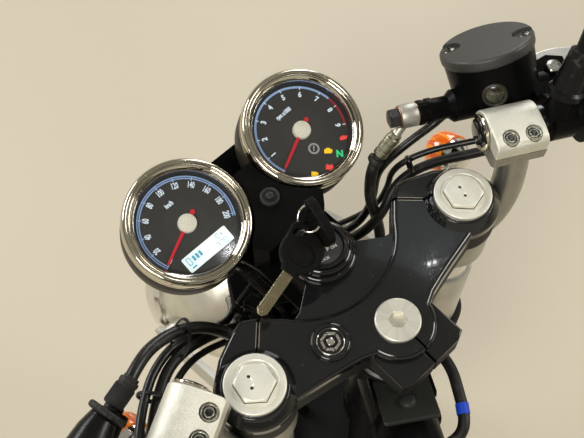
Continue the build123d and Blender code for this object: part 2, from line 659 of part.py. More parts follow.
with BuildPart() as lever:
    with BuildSketch(GRIP_PLAN.offset(-17)):
        with BuildLine():
            Spline((66, 60), (86, 62), (105, 59), (140, 60), (185, 63), (236, 61))
            Line((236, 61), (238, 51))
            Spline((238, 51), (185, 52), (140, 48), (105, 47), (90, 44), (80, 34))
            Polyline((80, 34), (66, 34), (66, 60))
        make_face()
        with Locations(PIVOT):
            Circle(PIVOT_R + 0.3, mode=Mode.SUBTRACT)
    extrude(amount=10)
save(lever.part, "brake_lever")
save(mirrored(lever.part), "clutch_lever")

# Clutch perch with the cable's adjuster
ADJUSTER = shifted(BAR, 44, -10, 0)
with BuildPart() as clutch_perch:
    add(perch_clamp())
    with BuildSketch(GRIP_PLAN.offset(-22)):
        with BuildLine():
            Polyline((44, 20), (84, 30), (84, 50), (72, 54), (44, 52), close=True)
        make_face()
    extrude(amount=22)
    add(lathe(ADJUSTER, [(0, 22), (6, 22), (6, 26), (10.5, 26), (10.5, 31), (9, 33), (9, 45), (0, 45)]))
    add(lever_gap(), mode=Mode.SUBTRACT)
    add(pivot_bolt())
save(mirrored(clutch_perch.part), "clutch_perch")

# Mirrors on stalks, with round heads
with BuildPart() as mirror_arm:
    add(lathe(STALK, [(0, 0), (13, 0), (13, 4), (11, 6), (8, 34), (5, 36), (5, 120), (0, 120)]))
    add(rod(local(STALK, 0, 0, 116), local(MIRROR, 0, 0, -18), 5))
    add(lathe(MIRROR, [(0, -20), (20, -19), (34, -14), (42, -6), (MIRROR_R, 0), (41, 0), (41, -2), (0, -2)]))
save_pair(mirror_arm.part, "mirror")
save_both(lathe(MIRROR, [(0, -1.8), (40.8, -1.8), (40.8, -0.2), (0, -0.2)]), "mirror_glasses")

# Headlamp between the sleeves' ears
with BuildPart() as headlamp_shell:
    add(lathe(LAMP, [
        (0, -74), (25, -71), (48, -60), (65, -43), (76, -22), (LAMP_R, 0), (LAMP_R, 22), (LAMP_R - 2, 22),
        (LAMP_R - 2, 2), (74, -20), (63, -41), (46, -58), (24, -69), (0, -72)]))
    for side in (-1, 1):
        pivot = local(LAMP, side * (LAMP_R - 1), 0, 2)
        add(rod(pivot, Vector(FORK_X + side * EAR_X, pivot.Y, pivot.Z), 9))
save(headlamp_shell.part, "headlamp_shell")
save(lathe(LAMP, [
    (LAMP_R, 12), (83, 12), (86, 16), (86, 30), (83, 36), (77, 38), (77, 35.5), (81, 33), (81, 22.2),
    (LAMP_R, 22.2)]), "headlamp_rim")
save(lathe(LAMP, [
    (0, 46), (29, 44), (57, 39), (76.8, 35.6), (76.8, 33), (57, 36), (29, 41), (0, 43)]), "headlamp_lens")

# Turn indicators on stalks from the sleeves
BLINKER = Plane(at(*INDICATOR), x_dir=(1, 0, 0), z_dir=MACHINE_FORWARD)
with BuildPart() as indicator:
    add(lathe(BLINKER, [(0, -20), (9, -18.5), (15, -12), (18, -2), (18, 6), (0, 6)]))
    add(rod(at(112, 8, -116), local(BLINKER, -6, 0, -8), 5))
    with BuildSketch(level(SLEEVE_TOP)):
        with Locations((HALF, 0)):
            Circle(SLEEVE_R)
    extrude(amount=-60, mode=Mode.SUBTRACT)
save_pair(indicator.part, "indicator")
blinker_lens = lathe(BLINKER, [(0, 6.2), (17.6, 6.2), (17, 11), (12.5, 17), (6, 19.5), (0, 19.8)])
save_both(blinker_lens, "indicator_lenses")

# Cables and hoses
cord("brake_hose", [
    (95.9, 69.0, 4.0), (92, 72, -16), (89, 72, -38), (86, 66, -66), (80, 54, -94), (71, 40, -122), (62, 26, -148),
    (54, 14, -171), (50, 7, -191)], 9.0)
cord("wiring_right", [
    (204, -20, 5.6), (194, -8, -6), (180, 6, -20), (158, 22, -31), (134, 36, -36), (108, 47, -42), (84, 52, -57),
    (66, 56, -78), (55, 66, -100), (44, 82, -120), (36, 108, -143)], 8.0)
cord("clutch_cable", [
    (-169, 49, 27), (-152, 56, 26), (-132, 62, 20), (-112, 63, 9), (-95, 59, -8), (-81, 50, -30), (-71, 40, -58),
    (-64, 30, -90), (-59, 21, -124), (-54, 12, -160), (-50, 7, -191)], 8.0)
cord("wiring_left", [
    (-205, -20, 5.4), (-196, -8, -5), (-180, 8, -12), (-158, 26, -15), (-136, 41, -14), (-114, 50, -18),
    (-94, 56, -32), (-78, 61, -52), (-66, 64, -74), (-55, 70, -97), (-44, 85, -120), (-36, 108, -143)], 8.0)
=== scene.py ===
"""Cockpit and steering head of a cafe racer motorcycle, dressed for the studio."""
from math import cos, pi, radians, sin, tau

import bmesh
import bpy
from mathutils import Matrix, Vector


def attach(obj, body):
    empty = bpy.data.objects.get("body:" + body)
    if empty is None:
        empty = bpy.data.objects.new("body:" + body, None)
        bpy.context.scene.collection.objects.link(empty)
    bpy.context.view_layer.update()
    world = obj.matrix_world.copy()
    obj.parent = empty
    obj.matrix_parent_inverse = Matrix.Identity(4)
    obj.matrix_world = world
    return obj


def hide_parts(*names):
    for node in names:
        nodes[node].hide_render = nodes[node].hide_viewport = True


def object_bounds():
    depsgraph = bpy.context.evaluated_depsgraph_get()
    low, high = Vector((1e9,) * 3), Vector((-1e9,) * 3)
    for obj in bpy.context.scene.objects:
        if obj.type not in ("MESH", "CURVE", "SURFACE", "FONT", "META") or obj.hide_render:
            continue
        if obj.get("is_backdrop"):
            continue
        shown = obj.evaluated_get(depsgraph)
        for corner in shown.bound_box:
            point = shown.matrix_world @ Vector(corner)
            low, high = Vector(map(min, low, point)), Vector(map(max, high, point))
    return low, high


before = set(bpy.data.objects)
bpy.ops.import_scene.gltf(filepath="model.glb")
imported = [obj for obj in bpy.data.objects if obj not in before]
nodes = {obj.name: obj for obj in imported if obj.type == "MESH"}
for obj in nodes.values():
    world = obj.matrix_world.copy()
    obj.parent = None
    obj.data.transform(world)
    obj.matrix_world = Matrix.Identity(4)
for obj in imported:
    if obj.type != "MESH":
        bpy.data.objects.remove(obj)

cad_low, cad_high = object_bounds()

MM = 0.001
STEERING_LOCK = radians(34)          # the forks stand this far left of the frame
REACH, STEER_OFFSET = 90.0, 32.0     # steering axis ahead of the row's origin, fork axes ahead of that axis
FORK_X, FORK_Y, YOKE_TOP = REACH * sin(STEERING_LOCK), REACH * cos(STEERING_LOCK) + STEER_OFFSET, 49.0
SWEEP, DROOP, DIAL_TILT, RAKE = radians(28), radians(3), radians(17.8), radians(24)
YOKE_SKIRT = 0.0385                  # below this height, in metres, the yoke's sides are painted darker as shade and made rougher
CARD_TOP = -10                       # face of the dial cards, in millimetres below the instruments' rims
CLAMP_LENGTH, GRIP_START, GRIP_END = 39, 124, 246.6    # along the bars, in millimetres from their inner ends
SIDES = (("right", False), ("left", True))
OTHER_SIDE = Matrix.Translation((2 * FORK_X * MM, 0, 0)) @ Matrix.Diagonal((-1, 1, 1, 1))


# Places on the machine

def spot(x, y, z):
    """A point in metres, given in millimetres from the middle of the fork axes on the yoke's top face."""
    return Vector((x + FORK_X, y + FORK_Y, z + YOKE_TOP)) * MM


class Seat:
    """A place with its own axes; distances on it are in millimetres."""

    def __init__(self, origin, out=(0, 0, 1), across=(1, 0, 0)):
        self.origin, self.z = Vector(origin), Vector(out).normalized()
        self.x = (Vector(across) - self.z * Vector(across).dot(self.z)).normalized()
        self.y = self.z.cross(self.x)

    def point(self, x=0.0, y=0.0, z=0.0):
        return self.origin + (self.x * x + self.y * y + self.z * z) * MM

    def moved(self, x=0.0, y=0.0, z=0.0, turn=0.0):
        spun = self.x * cos(radians(turn)) + self.y * sin(radians(turn))
        return Seat(self.point(x, y, z), self.z, spun)

    def matrix(self):
        axes = Matrix((self.x * MM, self.y * MM, self.z * MM)).transposed().to_4x4()
        return Matrix.Translation(self.origin) @ axes


YOKE = Seat(spot(0, 0, 0))
STEER = Seat(spot(0, -STEER_OFFSET, 0))
RIGHT_FORK, LEFT_FORK = Seat(spot(100, 0, 0)), Seat(spot(-100, 0, 0))
BAR = Seat(spot(134.6, 17.3, 32), (cos(SWEEP) * cos(DROOP), -sin(SWEEP) * cos(DROOP), -sin(DROOP)),
           (sin(SWEEP), cos(SWEEP), 0))
BAR_TOP = Seat(BAR.origin, BAR.y, BAR.z)
DIAL_NORMAL = (0, -sin(DIAL_TILT), cos(DIAL_TILT))
SPEED, REVS = Seat(spot(-55.5, 115.5, 16.4), DIAL_NORMAL), Seat(spot(55.5, 115.5, 16.4), DIAL_NORMAL)
LOCK = Seat(spot(0, 40, 0))
LAMP = Seat(spot(0, 140, -200), (0, cos(RAKE), -sin(RAKE)))
BLINKER = Seat(spot(178, 64, -100), LAMP.z)
TRIP = Seat(spot(0, 93, 7.8), (0, -0.08, 1))
RESERVOIR = Seat(spot(186.3, 62.2, 47), (0.14, 0.57, 0.81), (0.95, -0.31, 0))
SIGHT_OUT = RESERVOIR.x * cos(radians(240)) + RESERVOIR.y * sin(radians(240))
SIGHT = Seat(RESERVOIR.point(0, 0, -28.5) + SIGHT_OUT * 31.4 * MM, SIGHT_OUT)
CYLINDER = BAR.moved(34, -12, 0)
FERRULE = Seat(spot(101.5, 66.7, 9.5), spot(86, 69, -8) - spot(101.5, 66.7, 9.5))
ADJUSTER = Seat(spot(-157, 50, 29.2), (-17.5, -4, -2.2))
LOCK_KEY = Seat(spot(0.5, 43.5, 34), (-0.98, 0.2, 0), (-0.2, -0.98, 0))
SPARE = Seat(spot(-19.5, 40.5, 26.5), (-0.114, -0.511, 0.852), (0.268, -0.841, -0.469))
KEY_RING = Seat(spot(-3.4, 49.3, 40.8), (-0.656, 0.089, 0.75))
BADGE = Seat(spot(-43, -11.5, 0))
TUBE_AHEAD = Vector((sin(STEERING_LOCK) * cos(RAKE), cos(STEERING_LOCK) * cos(RAKE), -sin(RAKE)))
TUBE_ACROSS = Vector((cos(STEERING_LOCK), -sin(STEERING_LOCK), 0))
BACKBONE = Seat((0, 0, 0), TUBE_ACROSS.cross(TUBE_AHEAD), TUBE_AHEAD)


# Shader and geometry trees

def both_ways(operation):
    """A Field's operator, and its form for a number on the left."""
    def plain(self, other):
        return self.work.math(operation, self, other)

    def reflected(self, other):
        return self.work.math(operation, other, self)

    return plain, reflected


class Field:
    """A value inside a tree; an expression written with it adds its Math nodes."""

    __add__, __radd__ = both_ways("ADD")
    __sub__, __rsub__ = both_ways("SUBTRACT")
    __mul__, __rmul__ = both_ways("MULTIPLY")
    __truediv__, __rtruediv__ = both_ways("DIVIDE")
    __pow__, __rpow__ = both_ways("POWER")
    __gt__, __lt__ = both_ways("GREATER_THAN")

    def __init__(self, work, socket):
        self.work, self.socket = work, socket

    def math(self, operation, *others):
        return self.work.math(operation, self, *others)


class Work:
    """A node tree that is written by calls to node()."""

    def __init__(self, tree):
        self.tree = tree

    def node(self, kind, sockets=None, **settings):
        """Adds a node: its settings first, then its sockets' values or links. Gives its outputs."""
        made = self.tree.nodes.new(kind)
        for name, value in settings.items():
            if name == "stops":
                stops = made.color_ramp.elements
                while len(stops) < len(value):
                    stops.new(0.5)
                for stop, (place, colour) in zip(stops, value):
                    stop.position, stop.color = place, colour
            else:
                setattr(made, name, value)
        for name, value in (sockets or {}).items():
            if isinstance(value, Field):
                self.tree.links.new(value.socket, made.inputs[name])
            else:
                made.inputs[name].default_value = value
        return [Field(self, socket) for socket in made.outputs]

    def math(self, operation, *values):
        return self.node("ShaderNodeMath", dict(enumerate(values)), operation=operation)[0]

    def mix(self, share, first, second):
        return self.node("ShaderNodeMix", {0: share, 6: first, 7: second}, data_type="RGBA")[2]

    def around(self, angle, size, height=0.0):
        """The point at an angle on a circle."""
        return self.node("ShaderNodeCombineXYZ", {
            0: angle.math("COSINE") * size, 1: angle.math("SINE") * size, 2: height})[0]


class Finish(Work):
    """A material on Object coordinates, in metres."""

    def __init__(self, name):
        self.material = bpy.data.materials.new(name)
        self.material.use_nodes = True
        super().__init__(self.material.node_tree)
        self.tree.nodes.clear()
        self.here = self.node("ShaderNodeTexCoord")[3]

    def vector(self, operation, *values):
        outputs = self.node("ShaderNodeVectorMath", dict(enumerate(values)), operation=operation)
        return outputs[1] if operation == "DOT_PRODUCT" else outputs[0]

    def stretched(self, x, y, z):
        return self.node("ShaderNodeMapping", {"Vector": self.here, "Scale": (x, y, z)})[0]

    def noise(self, scale, detail=2.0, rough=0.5, where=None):
        return self.node("ShaderNodeTexNoise", {
            "Vector": where or self.here, "Scale": scale, "Detail": detail, "Roughness": rough})[0]

    def ease(self, value, low, high):
        """0 up to low, 1 from high on, and a smooth step between."""
        return self.node("ShaderNodeMapRange", {"Value": value, "From Min": low, "From Max": high},
                         interpolation_type="SMOOTHSTEP")[0]

    def flecks(self, scale, size, share):
        """Scattered round specks; share is the part of the cells that has one."""
        distance, colour = self.node("ShaderNodeTexVoronoi", {"Vector": self.here, "Scale": scale})[:2]
        picked = self.vector("DOT_PRODUCT", colour, (1, 0, 0)) > 1 - share
        return (1 - self.ease(distance, size * 0.5, size)) * picked

    def scratches(self, scale, fine):
        """Thin hairlines that run in two directions."""
        hairs = []
        for stretch in ((scale, scale * 0.03, scale * 0.2), (scale * 0.04, scale, scale * 0.3)):
            line = self.noise(1.0, 1.0, 0.5, self.stretched(*stretch))
            hairs.append(1 - self.ease((line - 0.5).math("ABSOLUTE"), 0.0, fine))
        return hairs[0].math("MAXIMUM", hairs[1])

    def on(self, seat):
        """Distances along a seat's first two axes, in metres."""
        offset = self.vector("SUBTRACT", self.here, seat.origin)
        return [self.vector("DOT_PRODUCT", offset, axis) for axis in (seat.x, seat.y)]

    def about(self, seat):
        """Radius in millimetres and angle in radians about a seat's axis."""
        along, aside = self.on(seat)
        return (along * along + aside * aside) ** 0.5 * 1000, aside.math("ARCTAN2", along)

    def bump(self, height, depth):
        return self.node("ShaderNodeBump", {"Height": height, "Distance": depth})[0]

    def surface(self, sockets):
        shader = self.node("ShaderNodeBsdfPrincipled", sockets)[0]
        self.node("ShaderNodeOutputMaterial", {"Surface": shader})
        return self.material


class Repeat(Work):
    """A geometry tree with named inputs, which are numbers or objects; its result becomes a plain mesh."""

    KINDS = {int: "NodeSocketInt", float: "NodeSocketFloat"}

    def __init__(self, name, **inputs):
        super().__init__(bpy.data.node_groups.new(name, "GeometryNodeTree"))
        self.values = {}
        for label, value in inputs.items():
            kind = self.KINDS.get(type(value), "NodeSocketObject")
            socket = self.tree.interface.new_socket(name=label, in_out="INPUT", socket_type=kind)
            self.values[socket.identifier] = value
        self.tree.interface.new_socket(name="Mesh", in_out="OUTPUT", socket_type="NodeSocketGeometry")
        self.given = dict(zip(inputs, self.node("NodeGroupInput")))

    def mesh(self, geometry, finish):
        real = self.node("GeometryNodeRealizeInstances", {0: geometry})[0]
        painted = self.node("GeometryNodeSetMaterial", {"Geometry": real, "Material": finish})[0]
        self.node("NodeGroupOutput", {0: painted})
        host = linked("host", bpy.data.meshes.new("host"))
        modifier = host.modifiers.new("repeat", "NODES")
        modifier.node_group = self.tree
        for identifier, value in self.values.items():
            modifier[identifier] = value
        mesh = evaluated(host)
        host.modifiers.clear()
        bpy.data.objects.remove(host)
        return mesh


# Objects and meshes

def linked(name, data):
    """A new object in the scene."""
    thing = bpy.data.objects.new(name, data)
    bpy.context.scene.collection.objects.link(thing)
    return thing


def evaluated(thing):
    """The mesh that an object's modifiers or text come to."""
    graph = bpy.context.evaluated_depsgraph_get()
    return bpy.data.meshes.new_from_object(thing.evaluated_get(graph))


def mesh_of(shape, name, outwards=False):
    """Turns a shape into a mesh, with its faces set to point outwards where that is asked."""
    if outwards:
        bmesh.ops.recalc_face_normals(shape, faces=shape.faces)
    mesh = bpy.data.meshes.new(name)
    shape.to_mesh(mesh)
    shape.free()
    return mesh


# Outlines and profiles, in millimetres

def circle(count):
    return [tau * k / count for k in range(count)]


def arc(centre, radius, start, end, count=12):
    """Points from one angle to another, in degrees."""
    angles = [radians(start + (end - start) * k / count) for k in range(count + 1)]
    return [(centre[0] + radius * cos(angle), centre[1] + radius * sin(angle)) for angle in angles]


def oblong(left, right, low, high):
    return [(left, low), (right, low), (right, high), (left, high)]


def rounded_box(width, height, radius, count=8, x=0.0):
    """A rectangle with round corners, its middle at x."""
    across, up = width / 2 - radius, height / 2 - radius
    outline = []
    for turn, centre in enumerate(((x + across, up), (x - across, up), (x - across, -up), (x + across, -up))):
        outline += arc(centre, radius, 90 * turn, 90 * turn + 90, count)
    return outline


def disc(radius, low, high):
    """A plain disc's profile for turned()."""
    return [(0, low), (radius, low), (radius, high), (0, high)]


def six_sided(flat, turn=0.0, margin=0.0, widest=100.0):
    """A limit for turned(): rings up to the widest one keep inside a hexagon, its flats this far out."""
    def limit(angle, radius):
        reach = flat / cos((angle - radians(turn)) % (pi / 3) - pi / 6) + margin
        return min(reach, radius) if radius < widest else radius
    return limit


# Shapes, in millimetres on a seat

def skin(shape, lower, upper):
    """Faces between two rings of points; a ring of one point is a pole."""
    count = max(len(lower), len(upper))
    for k in range(count if count > 1 else 0):
        corners = list(dict.fromkeys((lower[k % len(lower)], lower[(k + 1) % len(lower)],
                                      upper[(k + 1) % len(upper)], upper[k % len(upper)])))
        if len(corners) > 2:
            shape.faces.new(corners)


def stacked(rings, closed=False):
    """A shape through rings of points; its ends are filled unless the last ring joins the first."""
    shape = bmesh.new()
    made = [[shape.verts.new(point) for point in ring] for ring in rings]
    for lower, upper in zip(made, made[1:] + made[:1] if closed else made[1:]):
        skin(shape, lower, upper)
    if not closed:
        for ring in (made[0], made[-1]):
            if len(ring) > 2:
                shape.faces.new(ring)
    return shape


def turned(profile, turns=96, limit=None):
    """A turned piece from radius and height pairs; limit(angle, radius) may narrow its rings."""
    rings = []
    for radius, height in profile:
        ring = [(0, 0, height)]
        if radius > 0:
            reach = [(angle, limit(angle, radius) if limit else radius) for angle in circle(turns)]
            ring = [(here * cos(angle), here * sin(angle), height) for angle, here in reach]
        rings.append(ring)
    hollow = len(rings[0]) > 1 and len(rings[-1]) > 1
    return stacked(rings, closed=hollow)


def prism(outline, low, high):
    return stacked([[(x, y, z) for x, y in outline] for z in (low, high)])


def tube(points, radius, sides=12):
    """A round bar through points; its radius is one number or one for each point."""
    rings = []
    path = [Vector(point) for point in points]
    side = None
    for k, point in enumerate(path):
        ahead = (path[min(k + 1, len(path) - 1)] - path[max(k - 1, 0)]).normalized()
        if side is None:
            side = ahead.orthogonal().normalized()
        side = (side - ahead * side.dot(ahead)).normalized()
        other = ahead.cross(side)
        size = radius[k] if isinstance(radius, list) else radius
        rings.append([point + (side * cos(angle) + other * sin(angle)) * size for angle in circle(sides)])
    return stacked(rings)


def joined(*shapes):
    """One shape from several."""
    whole = bmesh.new()
    for shape in shapes:
        part = mesh_of(shape, "part")
        whole.from_mesh(part)
        bpy.data.meshes.remove(part)
    return whole


def seated(shape, seat, flip=False):
    """Moves a shape onto its seat, or onto the seat's mirror image on the machine's other side."""
    bmesh.ops.transform(shape, matrix=seat.matrix(), verts=shape.verts)
    if flip:
        bmesh.ops.transform(shape, matrix=OTHER_SIDE, verts=shape.verts)
    return shape


# Finished pieces

def in_role(piece, slot, body, stands_for):
    """Says which body carries a piece and which node it stands for; its slot is not used."""
    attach(piece, body)
    if stands_for:
        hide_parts(stands_for)
    return piece


def broken_edge(piece, width, steps, angle):
    edge = piece.modifiers.new("edge", "BEVEL")
    edge.width, edge.segments = width * MM, steps
    edge.limit_method, edge.angle_limit = "ANGLE", radians(angle)
    return edge


def even_shading(piece):
    """Flat faces stay flat to the eye; only the narrow ones between them carry the change."""
    flat = piece.modifiers.new("flat", "WEIGHTED_NORMAL")
    flat.mode, flat.weight, flat.keep_sharp = "FACE_AREA", 50, True


def fitted(name, mesh, slot, body="steering", stands_for=None, bevel=0.0, steps=2, angle=32, smooth=38):
    """Makes a placed mesh a piece, with its edges broken or, below an angle, smoothed."""
    piece = linked(name, mesh)
    mesh.shade_smooth()
    if bevel:
        broken_edge(piece, bevel, steps, angle).miter_outer = "MITER_ARC"
        even_shading(piece)
    else:
        mesh.set_sharp_from_angle(angle=radians(smooth))
    return in_role(piece, slot, body, stands_for)


def settled(name, shape, seat, finish, slot, flip=False, **role_and_edges):
    """Turns a shape into a finished piece on its seat; the last words go to fitted()."""
    bmesh.ops.remove_doubles(shape, verts=shape.verts, dist=0.0005)
    mesh = mesh_of(seated(shape, seat, flip), name, outwards=True)
    mesh.materials.append(finish)
    return fitted(name, mesh, slot, **role_and_edges)


def lathed(name, profile, seat, finish, slot, turns=96, limit=None, **more):
    """A turned piece; the last words go to settled()."""
    return settled(name, turned(profile, turns, limit), seat, finish, slot, **more)


def carved(piece, *cutters, bevel=0.0):
    """Cuts seated shapes out of a piece. The modifiers end up in its mesh."""
    tools = [linked("cutter", mesh_of(shape, "cutter", outwards=True)) for shape in cutters]
    for tool in tools:
        cut = piece.modifiers.new("cut", "BOOLEAN")
        cut.operation, cut.object, cut.solver = "DIFFERENCE", tool, "EXACT"
    if bevel:
        broken_edge(piece, bevel, 2, 50)
    mesh = evaluated(piece)
    piece.modifiers.clear()
    piece.data = mesh
    mesh.shade_smooth()
    mesh.set_sharp_from_angle(angle=radians(34))
    even_shading(piece)
    for tool in tools:
        bpy.data.objects.remove(tool)


def dressed(node, finish, slot, bevel, body="steering", steps=2, rolled=()):
    """A copy of a CAD node with its edges broken, which then stands for it.

    Rolled holds pairs of a width and a rule that chooses edges; those are rounded first.
    """
    shape = bmesh.new()
    shape.from_mesh(nodes[node].data)
    bmesh.ops.remove_doubles(shape, verts=shape.verts, dist=0.00001)
    bmesh.ops.dissolve_limit(shape, angle_limit=radians(0.5), verts=shape.verts, edges=shape.edges)
    for width, chosen in rolled:
        bmesh.ops.bevel(shape, geom=[edge for edge in shape.edges if chosen(edge)], offset=width * MM,
                        segments=3, profile=0.5, affect="EDGES", clamp_overlap=True)
    mesh = mesh_of(shape, node)
    mesh.materials.clear()
    mesh.materials.append(finish)
    fitted(f"{node}_dressed", mesh, slot, body, node, bevel, steps, angle=35)


def rung(name, shape, seat, finish, slot, count, radius=0.0, rise=0.0, flip=False):
    """One piece of many copies of a part, set round a circle and up an axis."""
    part = linked(name + "_part", mesh_of(shape, name, outwards=True))
    tree = Repeat(name, Count=count, Radius=radius, Sweep=tau, Rise=rise, Part=part)
    given = tree.given
    line = tree.node("GeometryNodeMeshLine", {"Count": given["Count"], "Offset": (0, 0, 0)})[0]
    index = tree.node("GeometryNodeInputIndex")[0]
    angle = given["Sweep"] * index / given["Count"]
    place = tree.around(angle, given["Radius"], index * given["Rise"])
    turn = tree.node("ShaderNodeCombineXYZ", {2: angle})[0]
    moved = tree.node("GeometryNodeSetPosition", {"Geometry": line, "Position": place})[0]
    copy = tree.node("GeometryNodeObjectInfo", {"Object": given["Part"]})[4]
    copies = tree.node("GeometryNodeInstanceOnPoints", {"Points": moved, "Instance": copy, "Rotation": turn})[0]
    mesh = tree.mesh(copies, finish)
    bpy.data.objects.remove(part)
    mesh.transform(seat.matrix())
    if flip:
        mesh.transform(OTHER_SIDE)
        mesh.flip_normals()
    fitted(name, mesh, slot, smooth=30)


def cable(name, route, diameter, finish, slot, body="steering", stands_for=None):
    """A held cable; its route's points are its spline's control points."""
    curve = bpy.data.curves.new(name, "CURVE")
    curve.dimensions = "3D"
    spline = curve.splines.new("NURBS")
    spline.points.add(len(route) - 1)
    for point, place in zip(spline.points, route):
        point.co = (*spot(*place), 1.0)
    spline.order_u, spline.use_endpoint_u, spline.resolution_u = 3, True, 14
    curve.bevel_depth, curve.bevel_resolution, curve.use_fill_caps = diameter / 2 * MM, 6, True
    curve.materials.append(finish)
    in_role(linked(name, curve), slot, body, stands_for)


# Printed marks, as meshes in millimetres

def lettering(text, size, narrow=1.0, bold=0.0):
    """Centred text."""
    curve = bpy.data.curves.new("lettering", "FONT")
    curve.body, curve.size, curve.extrude, curve.offset = text, size, 0.05, bold
    curve.align_x, curve.align_y = "CENTER", "CENTER"
    curve.resolution_u = 3
    holder = linked("lettering", curve)
    mesh = evaluated(holder)
    bpy.data.objects.remove(holder)
    mesh.transform(Matrix.Diagonal((narrow, 1, 1, 1)))
    return mesh


def stamp(outline, thick=0.1):
    """A flat mark with a given outline."""
    return mesh_of(prism(outline, 0, thick), "mark", outwards=True)


def band(radius, width, start, end, count=80):
    """A flat strip along an arc."""
    outline = arc((0, 0), radius + width / 2, start, end, count)
    outline += arc((0, 0), radius - width / 2, end, start, count)
    last = len(outline) - 1
    shape = bmesh.new()
    rings = [[shape.verts.new((x, y, z)) for x, y in outline] for z in (0, 0.12)]
    for ring in rings:
        for k in range(count):
            shape.faces.new((ring[k], ring[k + 1], ring[last - 1 - k], ring[last - k]))
    skin(shape, *rings)
    return mesh_of(shape, "mark", outwards=True)


def round_dial(mark, radius, angle):
    """A mark's place on a dial, standing upright on a spoke."""
    return mark, radius * cos(radians(angle)), radius * sin(radians(angle)), angle - 90


def printed(name, marks, seat, finish, slot="gauge_dial"):
    """Marks on a face as one piece, each with its place and turn."""
    whole = bmesh.new()
    for mesh, x, y, turn in marks:
        mesh.transform(Matrix.Translation((x, y, 0)) @ Matrix.Rotation(radians(turn), 4, "Z"))
        whole.from_mesh(mesh)
        bpy.data.meshes.remove(mesh)
    mesh = mesh_of(whole, name)
    mesh.materials.clear()
    mesh.materials.append(finish)
    mesh.transform(seat.matrix())
    fitted(name, mesh, slot)


# Finishes

def tone(red, green, blue):
    """A colour from its screen values, 0 to 255."""
    parts = [value / 255 for value in (red, green, blue)]
    return (*[part / 12.92 if part <= 0.04045 else ((part + 0.055) / 1.055) ** 2.4 for part in parts], 1.0)


def shaded(colour, factor, lift=0.0):
    """A lighter or darker version of a colour."""
    return (*[part * factor + lift for part in colour[:3]], 1.0)


def gloss_paint(name, colour, rough=0.1, dust=0.6, coat=0.4, shine=0.35, shade_below=-1.0):
    """Sprayed gloss paint: orange peel, settled dust, hairlines and haze; below a height in metres it is
    rougher, loses its coat and is painted darker, a painted shade on the sides.
    """
    f = Finish(name)
    height = f.vector("DOT_PRODUCT", f.here, (0, 0, 1))
    # painted shade: below the height the paint turns rougher and loses its coat
    side_shade = 1 - f.ease(height, shade_below, shade_below + 0.003)
    haze = f.noise(22, 4, 0.6)
    hairs = f.scratches(90, 0.012) * f.ease(haze, 0.52, 0.62)
    dusty = (f.flecks(420, 0.13, 0.055) + f.flecks(1300, 0.2, 0.02) * 0.5) * dust
    base = f.mix(haze, colour, shaded(colour, 1.6))
    base = f.mix(dusty, base, tone(168, 164, 150))
    # painted shade: the colour turns darker below that height
    base = f.mix(side_shade, base, tone(9, 9, 9))
    return f.surface({
        "Base Color": base,
        "Roughness": rough + 0.1 * f.ease(haze, 0.45, 0.75) + 0.4 * dusty + 0.08 * hairs + 0.55 * side_shade,
        "Coat Weight": (coat - coat * dusty) * (1 - side_shade), "Coat Roughness": 0.03,
        "Specular IOR Level": shine, "Normal": f.bump(f.noise(650, 1) + 3 * dusty - 0.3 * hairs, 0.00002)})


def satin_paint(name, colour, rough=0.42, grain=700, depth=0.00006, shine=0.35):
    """Matt or satin coating: fine grain, rubbed patches, a little dust."""
    f = Finish(name)
    cloud = f.noise(40, 4, 0.6)
    fine = f.noise(grain, 3, 0.6)
    specks = f.flecks(900, 0.16, 0.03)
    rubbed = f.ease(f.noise(95, 5, 0.65), 0.58, 0.72)
    base = f.mix(cloud, colour, shaded(colour, 1.7, 0.002))
    base = f.mix(rubbed * 0.3, base, shaded(colour, 2.2, 0.004))
    base = f.mix(specks * 0.4, base, tone(150, 146, 134))
    return f.surface({
        "Base Color": base, "Roughness": rough + 0.12 * cloud - 0.12 * rubbed + 0.1 * fine,
        "Specular IOR Level": shine, "Normal": f.bump(fine + 0.5 * specks, depth)})


def blasted_metal(name, colour, rough=0.34, grain=1500, depth=0.00007, metal=0.9):
    """Bead-blasted and lacquered alloy: near-white specks painted into its colour as glints of its sparkle,
    stains and small dings.
    """
    f = Finish(name)
    cloud = f.noise(30, 4, 0.55)
    fine = f.noise(grain, 2, 0.65)
    # painted glints: near-white specks in the colour, which are also a little smoother
    glint_specks = f.flecks(1500, 0.3, 0.16)
    dings = f.flecks(260, 0.09, 0.05)
    base = f.mix(f.ease(cloud, 0.3, 0.75), colour, shaded(colour, 0.8))
    base = f.mix(glint_specks * 0.5, base, (0.95, 0.94, 0.9, 1))
    base = f.mix(dings * 0.6, base, shaded(colour, 0.35))
    return f.surface({
        "Base Color": base, "Metallic": metal, "Roughness": rough + 0.12 * cloud + 0.12 * fine - 0.12 * glint_specks,
        "Coat Weight": 0.12, "Coat Roughness": 0.2, "Normal": f.bump(fine - 1.5 * dings, depth)})


def turned_metal(name, colour, seat, pitch, rough, metal):
    """Lathe-faced metal: fine rings, a fan-shaped sheen painted into its colour, and handling marks."""
    f = Finish(name)
    radius, angle = f.about(seat)
    rings = (radius * (tau / pitch) + f.noise(300, 2) * 0.6).math("SINE") * 0.5 + 0.5
    # painted sheen: the colour is lighter in fan-shaped sectors round the axis
    fan_sheen = f.noise(1.0, 2, 0.6, f.around(angle, 2.2, 0.3))
    cloud = f.noise(60, 4, 0.6)
    marks = f.flecks(500, 0.12, 0.05)
    base = f.mix(f.ease(fan_sheen, 0.35, 0.68), shaded(colour, 0.86), colour)
    base = f.mix(marks * 0.5, base, shaded(colour, 0.4))
    return f.surface({
        "Base Color": base, "Metallic": metal, "Roughness": rough + 0.12 * cloud + 0.06 * rings,
        "Normal": f.bump(rings + 0.4 * f.noise(1400, 2), 0.00002)})


